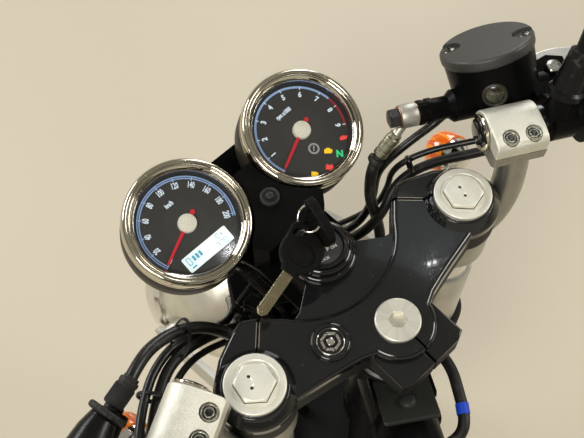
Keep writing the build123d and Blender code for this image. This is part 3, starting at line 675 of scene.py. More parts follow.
def bright_metal(name, colour, rough=0.06, waviness=0.00003):
    """Chrome or polished steel: finger marks, fine hairlines, a faint ripple, specks of dirt."""
    f = Finish(name)
    smear = f.ease(f.noise(75, 4, 0.65), 0.48, 0.7)
    hairs = f.scratches(160, 0.01)
    specks = f.flecks(700, 0.12, 0.05)
    base = f.mix(smear * 0.35, colour, shaded(colour, 0.78))
    base = f.mix(specks * 0.6, base, tone(90, 80, 64))
    return f.surface({
        "Base Color": base, "Metallic": 1.0, "Roughness": rough + 0.1 * smear + 0.07 * hairs + 0.25 * specks,
        "Normal": f.bump(f.noise(160, 1) * 0.8 + 0.05 * hairs, waviness)})


def soft_rubber(name, colour, rough=0.5, bloom=0.25, grain=1100, shine=0.4):
    """Rubber and vinyl: pale bloom, fine pebbling and scuffs."""
    f = Finish(name)
    cloud = f.noise(55, 4, 0.6)
    pebble = f.noise(grain, 2, 0.6)
    scuffs = f.scratches(120, 0.02) * f.ease(cloud, 0.5, 0.65)
    specks = f.flecks(800, 0.15, 0.04)
    base = f.mix(f.ease(cloud, 0.4, 0.8) * bloom, colour, tone(92, 90, 84))
    base = f.mix(specks * 0.5 + scuffs * 0.15, base, tone(150, 146, 136))
    return f.surface({
        "Base Color": base, "Roughness": rough + 0.15 * cloud + 0.1 * pebble + 0.1 * scuffs,
        "Specular IOR Level": shine, "Normal": f.bump(pebble + 0.4 * scuffs, 0.00005)})


def ink(name, colour, glow, rough=0.45):
    """Printed or lit marks on a dial: slightly uneven ink, with a glow; on marks with no lamp behind them, such
    as the needle hub and the lock's print, that glow is painted light.
    """
    f = Finish(name)
    uneven = f.noise(900, 3, 0.6)
    base = f.mix(f.ease(uneven, 0.3, 0.75), colour, shaded(colour, 0.84))
    return f.surface({
        "Base Color": base, "Roughness": rough + 0.15 * uneven, "Emission Color": base,
        "Emission Strength": glow, "Normal": f.bump(f.noise(3200, 2), 0.00001)})


def dial_face(name, seat):
    """Matt dial card with its faint inner disc, darker rim and fine print grain."""
    f = Finish(name)
    grain = f.noise(2600, 2, 0.6)
    radius = f.about(seat)[0]
    inner = 1 - f.ease(radius, 16.4, 16.9)
    base = f.mix(inner * 0.5, tone(46, 46, 42), tone(60, 60, 55))
    base = f.mix(f.noise(45, 3) * 0.5, base, tone(52, 52, 47))
    base = f.mix(f.ease(radius, 35.2, 35.6), base, tone(16, 16, 15))
    return f.surface({
        "Base Color": base, "Roughness": 0.55 + 0.2 * grain, "Normal": f.bump(grain + inner, 0.00002)})


def clear_glass(name, tint=(1, 1, 1, 1), strength=0.75):
    """Flat glass: see-through, with a reflection that grows at a slant, dust and wiping marks."""
    f = Finish(name)
    wipe = f.ease(f.noise(1.0, 4, 0.6, f.stretched(60, 240, 60)), 0.45, 0.8)
    specks = f.flecks(520, 0.09, 0.05)
    fresnel = f.node("ShaderNodeFresnel", {"IOR": 1.46})[0]
    through = f.node("ShaderNodeBsdfTransparent", {"Color": tint})[0]
    mirror = f.node("ShaderNodeBsdfPrincipled", {
        "Base Color": (0.95, 0.96, 1, 1), "Metallic": 1.0, "Roughness": 0.07 + 0.01 * wipe + 0.3 * specks})[0]
    both = f.node("ShaderNodeMixShader", {
        0: fresnel * strength + 0.012 * wipe + 0.16 * specks, 1: through, 2: mirror})[0]
    f.node("ShaderNodeOutputMaterial", {"Surface": both})
    return f.material


def coloured_lens(name, colour, deep):
    """Moulded lens: flutes in a deeper colour, and a faint glow of that colour, which is painted light, as no
    lamp behind it is lit.
    """
    f = Finish(name)
    flutes = f.noise(1.0, 1, 0.5, f.stretched(420, 40, 40))
    base = f.mix(f.ease(flutes, 0.35, 0.65), colour, deep)
    # painted light: the lens glows faintly in its own colour
    return f.surface({
        "Base Color": base, "Roughness": 0.12 + 0.1 * f.noise(60, 3), "Coat Weight": 0.8,
        "Coat Roughness": 0.05, "Emission Color": base, "Emission Strength": 0.12,
        "Normal": f.bump(flutes, 0.0002)})


def screen(name, seat):
    """Lit display: pale, a little bluer at one end, with its pixel grid."""
    f = Finish(name)
    along, up = f.on(seat)
    grid = sum(f.ease((distance * 9000).math("SINE"), 0.8, 1.0) for distance in (along, up))
    base = f.mix(f.ease(along, -0.022, 0.01), tone(222, 240, 240), tone(240, 246, 240))
    base = f.mix(grid * 0.06, base, tone(150, 190, 200))
    return f.surface({"Base Color": base, "Roughness": 0.25 + 0.1 * grid, "Emission Color": base,
                      "Emission Strength": 0.62})


yoke_black = gloss_paint("yoke_gloss_black", tone(17, 18, 18), rough=0.09, shade_below=YOKE_SKIRT)
frame_black = gloss_paint("frame_black", tone(9, 9, 9), rough=0.4, dust=0.7, coat=0.03, shine=0.07)
bar_black = gloss_paint("bar_black", tone(18, 18, 18), rough=0.18)
lock_black = gloss_paint("lock_gloss_black", tone(16, 16, 17), rough=0.08, dust=0.4)

lock_face = satin_paint("lock_face", tone(38, 38, 37), rough=0.42)
key_black = satin_paint("key_black", tone(9, 9, 8), rough=0.36, grain=900, shine=0.1)
bracket_black = satin_paint("bracket_black", tone(7, 7, 7), rough=0.3, shine=0.06)
cup_grey = satin_paint("cup_satin", tone(38, 34, 27), rough=0.28, grain=1500, depth=0.00002, shine=0.07)
bar_end_black = satin_paint("bar_end_black", tone(26, 26, 26), rough=0.3)
master_black = satin_paint("master_black", tone(6, 6, 6), rough=0.2, grain=1400, depth=0.00002, shine=0.06)
cap_black = satin_paint("reservoir_cap_black", tone(34, 34, 30), rough=0.4, grain=1400, depth=0.00004,
                        shine=0.8)
sight_rim = satin_paint("sight_rim", tone(40, 38, 30), rough=0.25)
switch_black = satin_paint("switch_black", tone(16, 16, 16), rough=0.45, grain=600, shine=0.2)
screw_black = satin_paint("screw_black", tone(22, 22, 21), rough=0.24, grain=1500, depth=0.00002, shine=0.6)
plate_grey = satin_paint("frame_plate", tone(34, 35, 32), rough=0.4, grain=1100, shine=0.25)

cap_cream = blasted_metal("fork_cap_satin", (0.92, 0.91, 0.8, 1), rough=0.4, grain=1800, depth=0.00003,
                          metal=0.75)
sleeve_silver = blasted_metal("sleeve_silver", (0.62, 0.61, 0.56, 1), rough=0.3)
clip_silver = blasted_metal("clip_on_silver", (0.37, 0.36, 0.31, 1), rough=0.3, grain=900, depth=0.00003)
clamp_silver = blasted_metal("clamp_satin_silver", (0.87, 0.86, 0.75, 1), rough=0.42, grain=1300, depth=0.0003)
banjo_grey = blasted_metal("banjo_grey", (0.55, 0.54, 0.48, 1), rough=0.35)
lever_silver = blasted_metal("lever_silver", (0.74, 0.73, 0.68, 1), rough=0.24, grain=1100, depth=0.00002)
lamp_silver = blasted_metal("lamp_silver", (0.82, 0.8, 0.69, 1), rough=0.28, grain=1200, depth=0.00002)
stem_bolt_face = turned_metal("stem_bolt_face", (0.84, 0.82, 0.71, 1), STEER, pitch=0.5, rough=0.3, metal=0.7)

bearing_steel = bright_metal("bearing_steel", (0.06, 0.06, 0.055, 1), rough=0.4)
stem_steel = bright_metal("stem_steel", (0.08, 0.08, 0.075, 1), rough=0.36)
fork_chrome = bright_metal("fork_chrome", (0.72, 0.71, 0.68, 1), rough=0.08)
key_blade = bright_metal("key_blade", (0.5, 0.44, 0.27, 1), rough=0.2)
ring_steel = bright_metal("ring_steel", (0.78, 0.75, 0.68, 1), rough=0.12)
bezel_chrome = bright_metal("bezel_chrome", (0.62, 0.58, 0.48, 1), waviness=0.00006)
bolt_steel = bright_metal("bolt_steel", (0.66, 0.66, 0.6, 1), rough=0.2)
copper = bright_metal("copper_washer", (0.4, 0.24, 0.15, 1), rough=0.35)
ferrule_olive = bright_metal("ferrule_olive", (0.34, 0.34, 0.24, 1), rough=0.35)
lamp_chrome = bright_metal("lamp_chrome", (0.8, 0.78, 0.74, 1), rough=0.05)
mirror_glass = bright_metal("mirror_glass", (0.86, 0.88, 0.9, 1), rough=0.02)
screw_grey = bright_metal("screw_grey", (0.13, 0.13, 0.11, 1), rough=0.26)
slit_edge_grey = bright_metal("slit_edge", (0.6, 0.57, 0.48, 1), rough=0.32)

button_black = soft_rubber("button_rubber", tone(26, 26, 24), rough=0.42)
grip_rubber = soft_rubber("grip_rubber", tone(20, 20, 20), rough=0.6)
hose_black = soft_rubber("hose_black", tone(17, 17, 17), rough=0.34, bloom=0.12, grain=1500)
sheath_gloss = soft_rubber("sheath_gloss", tone(14, 14, 13), rough=0.2, bloom=0.08, grain=500)
tape_blue = soft_rubber("tape_blue", tone(18, 66, 190), rough=0.4, bloom=0.05)
mirror_black = soft_rubber("mirror_boot", tone(10, 10, 10), rough=0.16, bloom=0.04, shine=0.25)
conduit_black = soft_rubber("conduit_black", tone(12, 12, 12), rough=0.16, bloom=0.06, grain=900)

needle_red = ink("needle_red", tone(206, 24, 44), glow=0.25, rough=0.3)
# the hub's glow is painted light, as no lamp lies behind it
hub_cream = ink("needle_hub", tone(244, 240, 220), glow=0.12, rough=0.4)
white_ink = ink("white_print", tone(222, 236, 246), glow=0.42)
# the lock print's faint glow is painted light, as no lamp lies behind it
lock_ink = ink("lock_print", tone(184, 184, 172), glow=0.04)
blue_ink = ink("blue_print", tone(150, 180, 222), glow=0.34)
red_ink = ink("red_print", tone(168, 26, 44), glow=0.12)
lcd_ink = ink("display_segments", tone(92, 176, 204), glow=0.35)

dial_glass = clear_glass("dial_glass")
lamp_glass = clear_glass("lamp_glass", (0.9, 0.93, 0.94, 1), strength=1.2)
sight_fluid = coloured_lens("sight_fluid", tone(62, 58, 30), tone(24, 24, 16))
amber = coloured_lens("indicator_amber", tone(255, 150, 10), tone(235, 92, 4))

# Frame's head, and the plate bolted on its backbone tube
for node, finish, slot, bevel in (("head_tube", frame_black, "frame_black", 0.6),
                                  ("bearing_cups", bearing_steel, "bearing_steel", 0.3),
                                  ("frame_backbone", frame_black, "frame_black", 0.6),
                                  ("frame_down_tubes", frame_black, "frame_black", 0.6)):
    dressed(node, finish, slot, bevel, "frame_head")
settled("frame_plate", prism(rounded_box(39, 39, 3, x=40.5), 25.7, 29.2), BACKBONE, plate_grey, "frame_black",
        body="frame_head", bevel=0.7)
lathed("frame_plate_bolt", [(0, 29), (5.9, 29), (5.9, 30.2), (5.4, 31.6), (4.2, 32.6), (2.4, 33.1), (0, 33.2)],
       BACKBONE.moved(36), plate_grey, "frame_black", 48, body="frame_head", smooth=50)


# Yokes, stem and forks

def outer_edge(face, low, high):
    """A rule that chooses the yoke's sharp outer edges at one height, in a band along the machine."""
    def chosen(edge):
        ends = [corner.co / MM for corner in edge.verts]
        level = all(abs(end.z - YOKE_TOP - face) < 0.2 for end in ends)
        return (edge.is_convex and edge.calc_face_angle(0) > radians(50) and level
                and all(low < end.y - FORK_Y < high for end in ends))
    return chosen


dressed("top_yoke", yoke_black, "yoke_black", 1.1, steps=3,
        rolled=((1.5, outer_edge(-7, -90, -36)), (0.8, outer_edge(-6, -8, 50))))
dressed("lower_yoke", yoke_black, "yoke_black", 0.7)
dressed("steering_stem", stem_steel, "stem_steel", 0.3)
for side, flip in SIDES:
    dressed(f"fork_tube_{side}", fork_chrome, "fork_chrome", 0.3)
    dressed(f"fork_shroud_{side}", sleeve_silver, "shroud_silver", 0.5)
    dressed(f"clip_on_{side}", clip_silver, "clip_on", 0.5)
    dressed(f"handlebar_{side}", bar_black, "bar_black", 0.4)


def fork_cap(side, fork, turn, dots):
    """Flange with a turned recess round its chamfered hexagon, and two punched dots."""
    flat = 12.2
    seat = fork.moved(z=6)
    flange = turned([(0, 0), (20.2, 0), (20.6, 0.4), (20.6, 3.0), (20.3, 3.5), (19.7, 3.8), (16.2, 3.8),
                     (15.5, 3.3), (0, 3.3)])
    head = turned([(0, 3.0), (20, 3.0), (20, 6.3), (13.3, 6.9), (12.0, 7.4), (0, 7.4)], 144,
                  six_sided(flat, turn))
    cap = settled(f"fork_cap_{side}_dressed", joined(flange, head), seat, cap_cream, "fork_cap",
                  stands_for=f"fork_cap_{side}", bevel=0.25)
    for k, (x, y) in enumerate(dots):
        lathed(f"fork_cap_dot_{side}_{k}", disc(1.15, 0, 0.3), fork.moved(x, y, 12.6), screw_black,
               "fork_cap", 24)
    # a thin dark rim round the hexagon's foot: painted shade where the hexagon meets the recess
    lathed(f"fork_cap_line_{side}", disc(20, 3.32, 3.46), seat, screw_black, "fork_cap", 144,
           six_sided(flat, turn, margin=0.5))
    punch = [(0, -1.0), (1.15, -1.0), (1.3, 2), (0, 2)]
    carved(cap, *[seated(turned(punch, 24), fork.moved(x, y, 13.4)) for x, y in dots])


fork_cap("right", RIGHT_FORK, 12, ((0.0, 3.9), (-2.3, -3.2)))
fork_cap("left", LEFT_FORK, 20, ((-0.3, 5.3), (-3.8, -1.8)))
for side, flip in SIDES:
    for k, (low, high) in enumerate(((-1.3, -0.85), (0.85, 1.3))):
        settled(f"slit_edge_{side}_{k}", prism(oblong(27.3, 45.4, low, high), -4, 0.06),
                RIGHT_FORK.moved(turn=135), slit_edge_grey, "fork_cap", flip=flip)
bolt = lathed("stem_bolt_dressed",
              [(0, -2.9), (12.5, -2.9), (12.5, 0), (15.7, 0), (15.7, 2.2), (14.9, 3.0), (0, 3.0)],
              STEER, stem_bolt_face, "stem_bolt", 120, stands_for="stem_bolt", bevel=0.2)
socket = turned([(0, -2.3), (20, -2.3), (20, 2.3), (20, 4), (0, 4)], 72, six_sided(5.7, 10))
carved(bolt, seated(socket, STEER), bevel=0.25)

# Badge boss with a plain geometric mark
lathed("badge_boss", [(10.2, 0), (13.6, 0), (13.6, 1.2), (13.0, 2.4), (12.1, 3.0), (11.2, 3.0), (10.5, 2.4),
                      (10.2, 1.2)], BADGE, yoke_black, "badge")
lathed("badge_plate", disc(10.3, 0.1, 1.5), BADGE, lock_black, "badge", stands_for="yoke_badge")
lathed("badge_ring", [(8.9, 1.2), (9.7, 1.2), (9.7, 2.0), (9.3, 2.3), (8.9, 2.0)], BADGE, ring_steel, "badge")
inner, outer = (arc((0, 0), radius, 0, 360, 6) for radius in (5.4, 7.4))
for k in range(6):
    bar = [Vector(ring[k]).lerp(Vector(ring[k + 1]), share)
           for ring, share in ((inner, 0.08), (outer, 0.08), (outer, 0.92), (inner, 0.92))]
    settled(f"badge_bar_{k}", prism(bar, 1.3, 1.9), BADGE.moved(turn=12), ring_steel, "badge", bevel=0.12)
lathed("badge_centre", [(0, 1.3), (2.6, 1.3), (2.6, 1.8), (2.2, 2.0), (0, 2.0)], BADGE, ring_steel, "badge", 48)

# Ignition lock
lathed("lock_housing_dressed",
       [(14.8, -10), (17, -10), (17, -6), (24, -6), (24, -1), (23.6, 0.4), (22.8, 1.3), (21.4, 1.6), (21, 2.4),
        (21, 5.4), (20.6, 6.6), (19.7, 7.6), (18.7, 8), (18.4, 8.6), (18.3, 10), (17.8, 11), (16.9, 11.4),
        (15.9, 11.3), (15.2, 10.6), (14.8, 9.6)], LOCK, lock_black, "lock_black", stands_for="lock_housing")
barrel = lathed("lock_barrel_dressed", [(0, -52), (15, -52), (16.5, -50), (16.5, -11), (14.6, -10), (14.6, 8.2),
                                        (13.9, 9), (0, 9)],
                LOCK, lock_face, "lock_face", stands_for="lock_barrel", bevel=0.2)
carved(barrel, seated(prism(rounded_box(3, 11, 0.8), 5.5, 12), LOCK), bevel=0.15)
printed("lock_marks", [(lettering("ON", 3.0, bold=0.08), 5.0, -6.0, -12),
                       (lettering("LOCK", 2.8, bold=0.08), -6.2, -8.6, -14),
                       (lettering("OFF", 2.8, bold=0.08), 10.6, 3.2, -70),
                       (stamp([(-1.7, -1.5), (1.5, -1.5), (0.9, 1.7)]), 0.2, -3.6, 20)],
        LOCK.moved(z=9.02), lock_ink, "lock_face")


# Keys and their ring

def key_bow(name, seat, node, hollows):
    """Moulded bow with a lobe for the ring; hollows are outlines on its face, each with its depth and place."""
    half = 3.4
    outline = (arc((0, 0), 15, -66, 100, 40) + arc((-9, 10), 7, 70, 190, 20) + arc((0, 0), 15, 176, 246, 20)
               + [(-4.6, -17), (5.6, -17)])
    bow = settled(name, prism(outline, -half, half), seat, key_black, "key", stands_for=node, bevel=1.3,
                  steps=4, angle=40)
    cuts = [seated(prism(rounded_box(11, 5.5, 2.7), -9, 9), seat.moved(-9, 10, turn=42))]
    for hollow, depth, x, y in hollows:
        cuts.append(seated(prism(hollow, half - depth, half + 2), seat.moved(x, y)))
    carved(bow, *cuts, bevel=0.35)


ridges = [(rounded_box(24, 0.9, 0.4, 3), 0.7, 0, -8 + 3.2 * k) for k in range(5)]
oval = [(x, y * 0.82) for x, y in arc((0, 0), 9.5, 0, 354, 59)]
key_bow("lock_key_bow", LOCK_KEY, "lock_key", ridges)
key_bow("spare_key_bow", SPARE, "spare_key", [(oval, 1.2, 0.5, -1.5)])
for name, seat, x, length in (("lock_key_blade", LOCK_KEY, 3.5, 9.5), ("spare_key_blade", SPARE, 1, 35)):
    tip = -15 - length
    outline = [(x - 4, -15), (x + 4, -15), (x + 4, tip + 3), (x + 1.5, tip), (x - 1.5, tip), (x - 4, tip + 3)]
    blade = settled(name, prism(outline, -1.2, 1.2), seat, key_blade, "key", bevel=0.25)
    carved(blade, seated(prism(oblong(x - 0.9, x + 1.1, -17.5, tip + 3), 0.5, 3), seat), bevel=0.1)
wire = [(9.2 + 0.8 * cos(angle), 0.8 * sin(angle)) for angle in circle(12)]
lathed("key_ring_dressed", wire, KEY_RING, ring_steel, "ring_steel", stands_for="key_ring")

# Instruments
BEZEL = [(37.2, -4.6), (37.3, -3.9), (37.9, -3.0), (38.9, -1.8), (40.0, -0.7), (40.6, -0.3), (41.0, -0.4),
         (41.2, -1.0), (41.7, -1.1), (42.0, -0.3), (42.6, 0.2), (43.5, 0.3), (44.5, -0.2), (45.3, -1.2),
         (45.9, -2.8), (46.1, -4.8), (46.0, -8.6), (45.5, -9.4), (45.5, -9.9), (46.1, -10.4), (46.2, -11.0),
         (45.8, -11.8), (44.9, -12), (44.9, -4.6)]
CUP = [(0, -50), (35, -50), (38.5, -49.4), (41.5, -47.9), (43.8, -45.2), (45.1, -41.8), (45.8, -37), (46, -30),
       (46, -13.2), (45.7, -12.6), (44.6, -12.6), (44.6, -3.3), (41.5, -3.3), (41.5, -12), (0, -12)]
HUB = [(0, -9.8), (6.8, -9.8), (6.8, -6.9), (6.5, -6.3), (5.8, -6), (0, -6)]
NEEDLE = arc((-9.4, 0), 1.7, 90, 270, 12) + [(0, -1.35), (31, -0.9), (34, 0), (31, 0.9), (0, 1.35)]
NEEDLE_REST = 205.5                  # where both needles point, in degrees
for side, seat, face in (("left", SPEED, dial_face("speed_dial", SPEED)),
                         ("right", REVS, dial_face("revs_dial", REVS))):
    for name, profile, finish, slot, turns, smooth, node in (
            (f"gauge_cup_{side}_dressed", CUP, cup_grey, "gauge_cup", 128, 50, f"gauge_cup_{side}"),
            (f"gauge_bezel_{side}", BEZEL, bezel_chrome, "gauge_bezel", 160, 60, "gauge_bezels"),
            (f"gauge_dial_{side}", disc(41.3, CARD_TOP - 0.8, CARD_TOP), face, "gauge_dial", 128, 38,
             "gauge_dials"),
            (f"gauge_wall_{side}", [(36.2, CARD_TOP), (37.9, CARD_TOP), (37.9, -4.8), (37.1, -4.8)],
             button_black, "gauge_dial", 128, 38, None),
            (f"gauge_glass_{side}", disc(37.1, -4.6, -3.3), dial_glass, "gauge_glass", 128, 38,
             "gauge_glasses"),
            (f"needle_hub_{side}", HUB, hub_cream, "gauge_needle", 72, 38, "gauge_needles")):
        lathed(name, profile, seat, finish, slot, turns, stands_for=node, smooth=smooth)
    settled(f"needle_{side}", prism(NEEDLE, -8.4, -7.6), seat.moved(turn=NEEDLE_REST), needle_red,
            "gauge_needle", bevel=0.15)

# Dials' print: a scale's angles, in degrees, fall as its figures rise
SPEED_START, SPEED_STEP, SPEED_SWEEP = 206.3, 23.2, 235
REVS_START, REVS_STEP = 207.5, 26.3
speed_card, revs_card = SPEED.moved(z=CARD_TOP + 0.02), REVS.moved(z=CARD_TOP + 0.02)
figures, lines = [], []
for step in range(11):
    angle = SPEED_START - SPEED_STEP * step
    figures.append(round_dial(lettering(str(step * 20), 6.4, narrow=0.56, bold=0.2), 28.6, angle))
    lines.append((stamp([(31.9, -0.45), (35.2, -0.3), (35.2, 0.3), (31.9, 0.45)]), 0, 0, angle))
for k in range(161):
    lines.append((stamp(oblong(33.6, 34.5, -0.09, 0.09), 0.08), 0, 0, SPEED_START - SPEED_SWEEP * k / 160))
figures.append((lettering("km/h", 4.6, narrow=0.7, bold=0.2), -0.7, 18.5, 0))
printed("speed_print", figures, speed_card, white_ink)
lines += [(band(radius, 0.75, 207, -29), 0, 0, 0) for radius in (34.8, 33.2)]
printed("speed_arc", lines, speed_card, blue_ink)
figures = []
for step in range(1, 10):
    angle = REVS_START - REVS_STEP * step
    figures.append(round_dial(lettering(str(step), 5.6, narrow=0.92, bold=0.24), 28.4, angle))
    figures.append((stamp(oblong(32.3, 34.6, -0.3, 0.3), 0.14), 0, 0, angle))
figures.append((lettering("rpm x1000", 4.4, narrow=0.7, bold=0.2), -1.4, 18.2, 0))
printed("revs_print", figures, revs_card, white_ink)
printed("revs_arc", [(band(34.3, 1.7, 207, 10), 0, 0, 0)], revs_card, blue_ink)
printed("revs_arc_red", [(band(34.3, 1.7, 10, -31), 0, 0, 0)], revs_card, red_ink)

# Display: seven-segment figures, a row of blocks and a line
DISPLAY = speed_card.moved(-0.6, -23, 0.02)
SEGMENTS = {"0": "abcdef", "3": "abgcd", "7": "abc"}
LCD_THICK = 0.06
settled("display_screen", prism(rounded_box(39.6, 11.8, 1.2), 0, 0.12), DISPLAY, screen("display", DISPLAY),
        "gauge_dial")


def digit(figure, size):
    """Seven-segment figure."""
    w, h, t = size * 0.5, size, size * 0.13
    strokes = {"a": (0, h / 2, w, t), "g": (0, 0, w, t), "d": (0, -h / 2, w, t), "b": (w / 2, h / 4, t, h / 2),
               "c": (w / 2, -h / 4, t, h / 2), "f": (-w / 2, h / 4, t, h / 2), "e": (-w / 2, -h / 4, t, h / 2)}
    bars = []
    for x, y, wide, tall in (strokes[key] for key in SEGMENTS[figure]):
        a, b = wide / 2 - 0.05, tall / 2 - 0.05
        bars.append(prism(oblong(x - a, x + a, y - b, y + b), 0, LCD_THICK))
    return mesh_of(joined(*bars), "mark", outwards=True)


lcd = []
for text, size, x, y in (("370", 4.0, 8.0, -2.9), ("0", 3.6, 11.0, 2.9), ("0", 5.4, -15.8, 1.4)):
    lcd += [(digit(figure, size), x + k * size * 0.8, y, 0) for k, figure in enumerate(text)]
for x, y, w, h, radius in ((-11.6, 1.4, 2.0, 4.0, 0.2), (-8.7, 1.4, 2.0, 4.0, 0.2), (-5.8, 1.4, 2.0, 4.0, 0.2),
                           (-15, -3.6, 4, 1.2, 0.36), (14.6, 2.6, 1.2, 1.2, 0.36), (-2, -0.9, 34, 0.12, 0.036)):
    lcd.append((stamp(rounded_box(w, h, radius, 2), LCD_THICK), x, y, 0))
printed("display_figures", lcd, DISPLAY.moved(z=0.13), lcd_ink)

# Warning lamps on the rev counter
for name, colour, glow, marks in (
        ("grey", tone(176, 178, 176), 0.1, [(band(3.6, 1.4, 0, 359.9, 40), -1.9, -16.1, 0),
                                            (lettering("!", 5.0, bold=0.3), -1.9, -16.1, -42)]),
        ("yellow", tone(244, 200, 10), 0.6, [
            (stamp([(-3, -2), (2.2, -2), (3.2, -0.8), (3.2, 1.2), (1.6, 1.2), (1.6, 2.2), (-1.6, 2.2),
                    (-1.6, 1.2), (-3, 1.2)]), 5.4, -24.1, -38),
            (stamp([(-2.6, -2), (1, -2), (1, -0.6), (2.6, -0.6), (2.6, 1.2), (1, 2.2), (-2.6, 2.2)]),
             -14.9, -31.3, -42)]),
        ("green", tone(40, 210, 130), 0.6, [(lettering("N", 7.0, bold=0.35), 10.7, -31.4, -38)]),
        ("red", tone(240, 70, 66), 0.6, [
            (stamp([(-3, -1.4), (2, -1.4), (3.6, 0.8), (1.6, 0.6), (1, 1.6), (-1, 1.6), (-3, 0.8)]),
             21.7, -23.9, -20),
            (stamp([(-2.8, -2), (2.8, -2), (2.8, 1.4), (2, 1.4), (2, 2.2), (1, 2.2), (1, 1.4), (-1, 1.4),
                    (-1, 2.2), (-2, 2.2), (-2, 1.4), (-2.8, 1.4)]), -2.3, -34.0, -40)])):
    printed(f"warning_{name}", marks, revs_card.moved(z=0.02), ink(f"lamp_{name}", colour, glow))

dressed("instrument_bracket", bracket_black, "bracket_black", 0.8)
lathed("trip_button_dressed",
       [(0, 0), (7.2, 0), (7.2, 2.4), (6.8, 3.1), (6.2, 3.4), (5.4, 3.4), (4.9, 3.0), (4.6, 2.4), (3.6, 2.4),
        (3.3, 3.6), (2.9, 4.6), (2.2, 5.2), (0, 5.4)],
       TRIP, button_black, "button", 64, stands_for="trip_button", smooth=50)

# Bar clamps: caps bored for the bar and for their screws, which have a raised ring round a boss with a socket
CLAMP = [(15.5 * sin(radians(a)), 15.2 * cos(radians(a))) for a in range(90, -1, -6)]
CLAMP += [(-14, 14.4), (-21, 12.6), (-24, 10), (-25, 6.5), (-25, 0)]
CAP_SCREW = [(0, 0), (5.6, 0), (5.6, 4.4), (5.1, 5.2), (4.7, 5.2), (4.3, 4.6), (4.1, 3.6), (3.5, 3.6),
             (3.4, 4.4), (3.2, 4.7), (2.61, 4.7), (2.6, 4.3), (2.6, 1.4), (0, 1.4)]
SCREW_SHADE = [(0, 10.2), (4.25, 10.2), (4.25, 12.4), (3.45, 12.4), (3.45, 10.8), (0, 10.8)]
for side, flip in SIDES:
    cap = settled(f"clamp_cap_{side}_dressed", prism(CLAMP, 0, CLAMP_LENGTH), BAR, clamp_silver, "clamp_cap",
                  stands_for=f"clamp_cap_{side}", flip=flip, bevel=2.2, steps=4, angle=40)
    tops = [Seat(BAR.point(-17, 0, along), BAR.y, BAR.z) for along in (11.5, 28.5)]
    carved(cap, seated(turned(disc(11.2, -2, CLAMP_LENGTH + 3), 64), BAR, flip),
           *[seated(turned(disc(6.1, 8.6, 24), 48), top, flip) for top in tops], bevel=0.35)
    for k, top in enumerate(tops):
        lathed(f"clamp_screw_{side}_{k}", CAP_SCREW, top.moved(z=8.7, turn=17 * k + 8), bolt_steel,
               "clamp_cap", 60, six_sided(2.3, widest=2.65), flip=flip, smooth=34)
        lathed(f"clamp_screw_shade_{side}_{k}", SCREW_SHADE, top, screw_black, "clamp_cap", 48, flip=flip)
    lathed(f"bar_plug_ring_{side}", [(9.9, -2.6), (12.9, -2.6), (13.3, -2.2), (13.3, -1.0), (12.9, -0.6),
                                     (9.9, -0.6)], BAR, bezel_chrome, "bar_end", 80, flip=flip)
    lathed(f"bar_plug_{side}", [(0, -4.4), (8.6, -4.2), (10.3, -3.4), (11.0, -2.2), (11.0, 1), (0, 1)],
           BAR, lock_black, "bar_end", 64, flip=flip)

# Grips, bar ends and switches
GRIP = [(11.1, 0), (20.2, 0), (21, 0.8), (21, 2.4), (20, 3.6), (17.2, 4.8), (16.4, 6.5), (15.7, 30), (15.5, 60),
        (15.9, 90), (16.5, 116), (16.2, 120), (15, 122), (11.1, 122)]
BAR_END = [(11.1, 0), (14.4, 0), (15, 0.8), (15, 8), (16.5, 11), (16.5, 30), (15.6, 32.2), (14, 33), (0, 33),
           (0, 2.6), (11.1, 2.6)]
for side, flip in SIDES:
    lathed(f"grip_{side}_dressed", GRIP, BAR.moved(z=GRIP_START), grip_rubber, "grip", 72,
           stands_for=f"grip_{side}", flip=flip, smooth=50)
    rib = turned([(15.2, -0.9), (16.6, -0.6), (16.9, 0), (16.6, 0.6), (15.2, 0.9)], 48)
    rung(f"grip_ribs_{side}", rib, BAR.moved(z=GRIP_START + 10), grip_rubber, "grip", 26, rise=4.0, flip=flip)
    lathed(f"bar_end_{side}_dressed", BAR_END, BAR.moved(z=GRIP_END), bar_end_black, "bar_end", 72,
           stands_for=f"bar_end_{side}", flip=flip, smooth=40)
    dressed(f"switch_housing_{side}", switch_black, "switch_black", 1.4, steps=3)

# Brake: master cylinder, reservoir cap with a cross-head screw in each of its pockets, and sight glass
POCKETS = (143, -30)                 # where the pockets are round the cap, in degrees
pocket = arc((27, 0), 8.4, 90, 270, 24) + [(40, -8.4), (40, 8.4)]
dressed("master_cylinder", master_black, "master_black", 0.5)
cap = lathed("reservoir_cap_dressed",
             [(0, -9), (32.6, -9), (33.4, -8.6), (34.1, -7.6), (34.4, -6.6), (34.4, -2.2), (34.0, -1.0),
              (33.2, -0.25), (32.2, 0), (0, 0)],
             RESERVOIR, cap_black, "reservoir_cap", 144, stands_for="reservoir_cap", smooth=50)
carved(cap, *[seated(prism(pocket, -2.6, 6), RESERVOIR.moved(turn=turn)) for turn in POCKETS], bevel=0.4)
for k, turn in enumerate(POCKETS):
    seat = RESERVOIR.moved(turn=turn).moved(27.4, 0, -2.5, turn=30 + 25 * k)
    screw = lathed(f"reservoir_screw_{k}", [(0, 0), (5, 0), (4.85, 0.9), (3.9, 1.7), (2, 2.2), (0, 2.3)], seat,
                   screw_grey, "reservoir_cap", 40)
    cross = [prism(rounded_box(wide, tall, 0.2, 2), 1.0, 4) for wide, tall in ((5.75, 0.9), (0.9, 5.75))]
    carved(screw, *[seated(groove, seat) for groove in cross])
lathed("sight_rim", [(6.6, -1), (9, -1), (9, 1.6), (8.6, 2.3), (7.6, 2.6), (6.9, 2.2), (6.6, 1.4)], SIGHT,
       sight_rim, "sight_glass", 64)
lathed("sight_window", [(0, -2), (6.7, -2), (6.7, 1.0), (5.4, 1.5), (0, 1.9)], SIGHT, sight_fluid,
       "sight_glass", 64, stands_for="sight_glass", smooth=50)

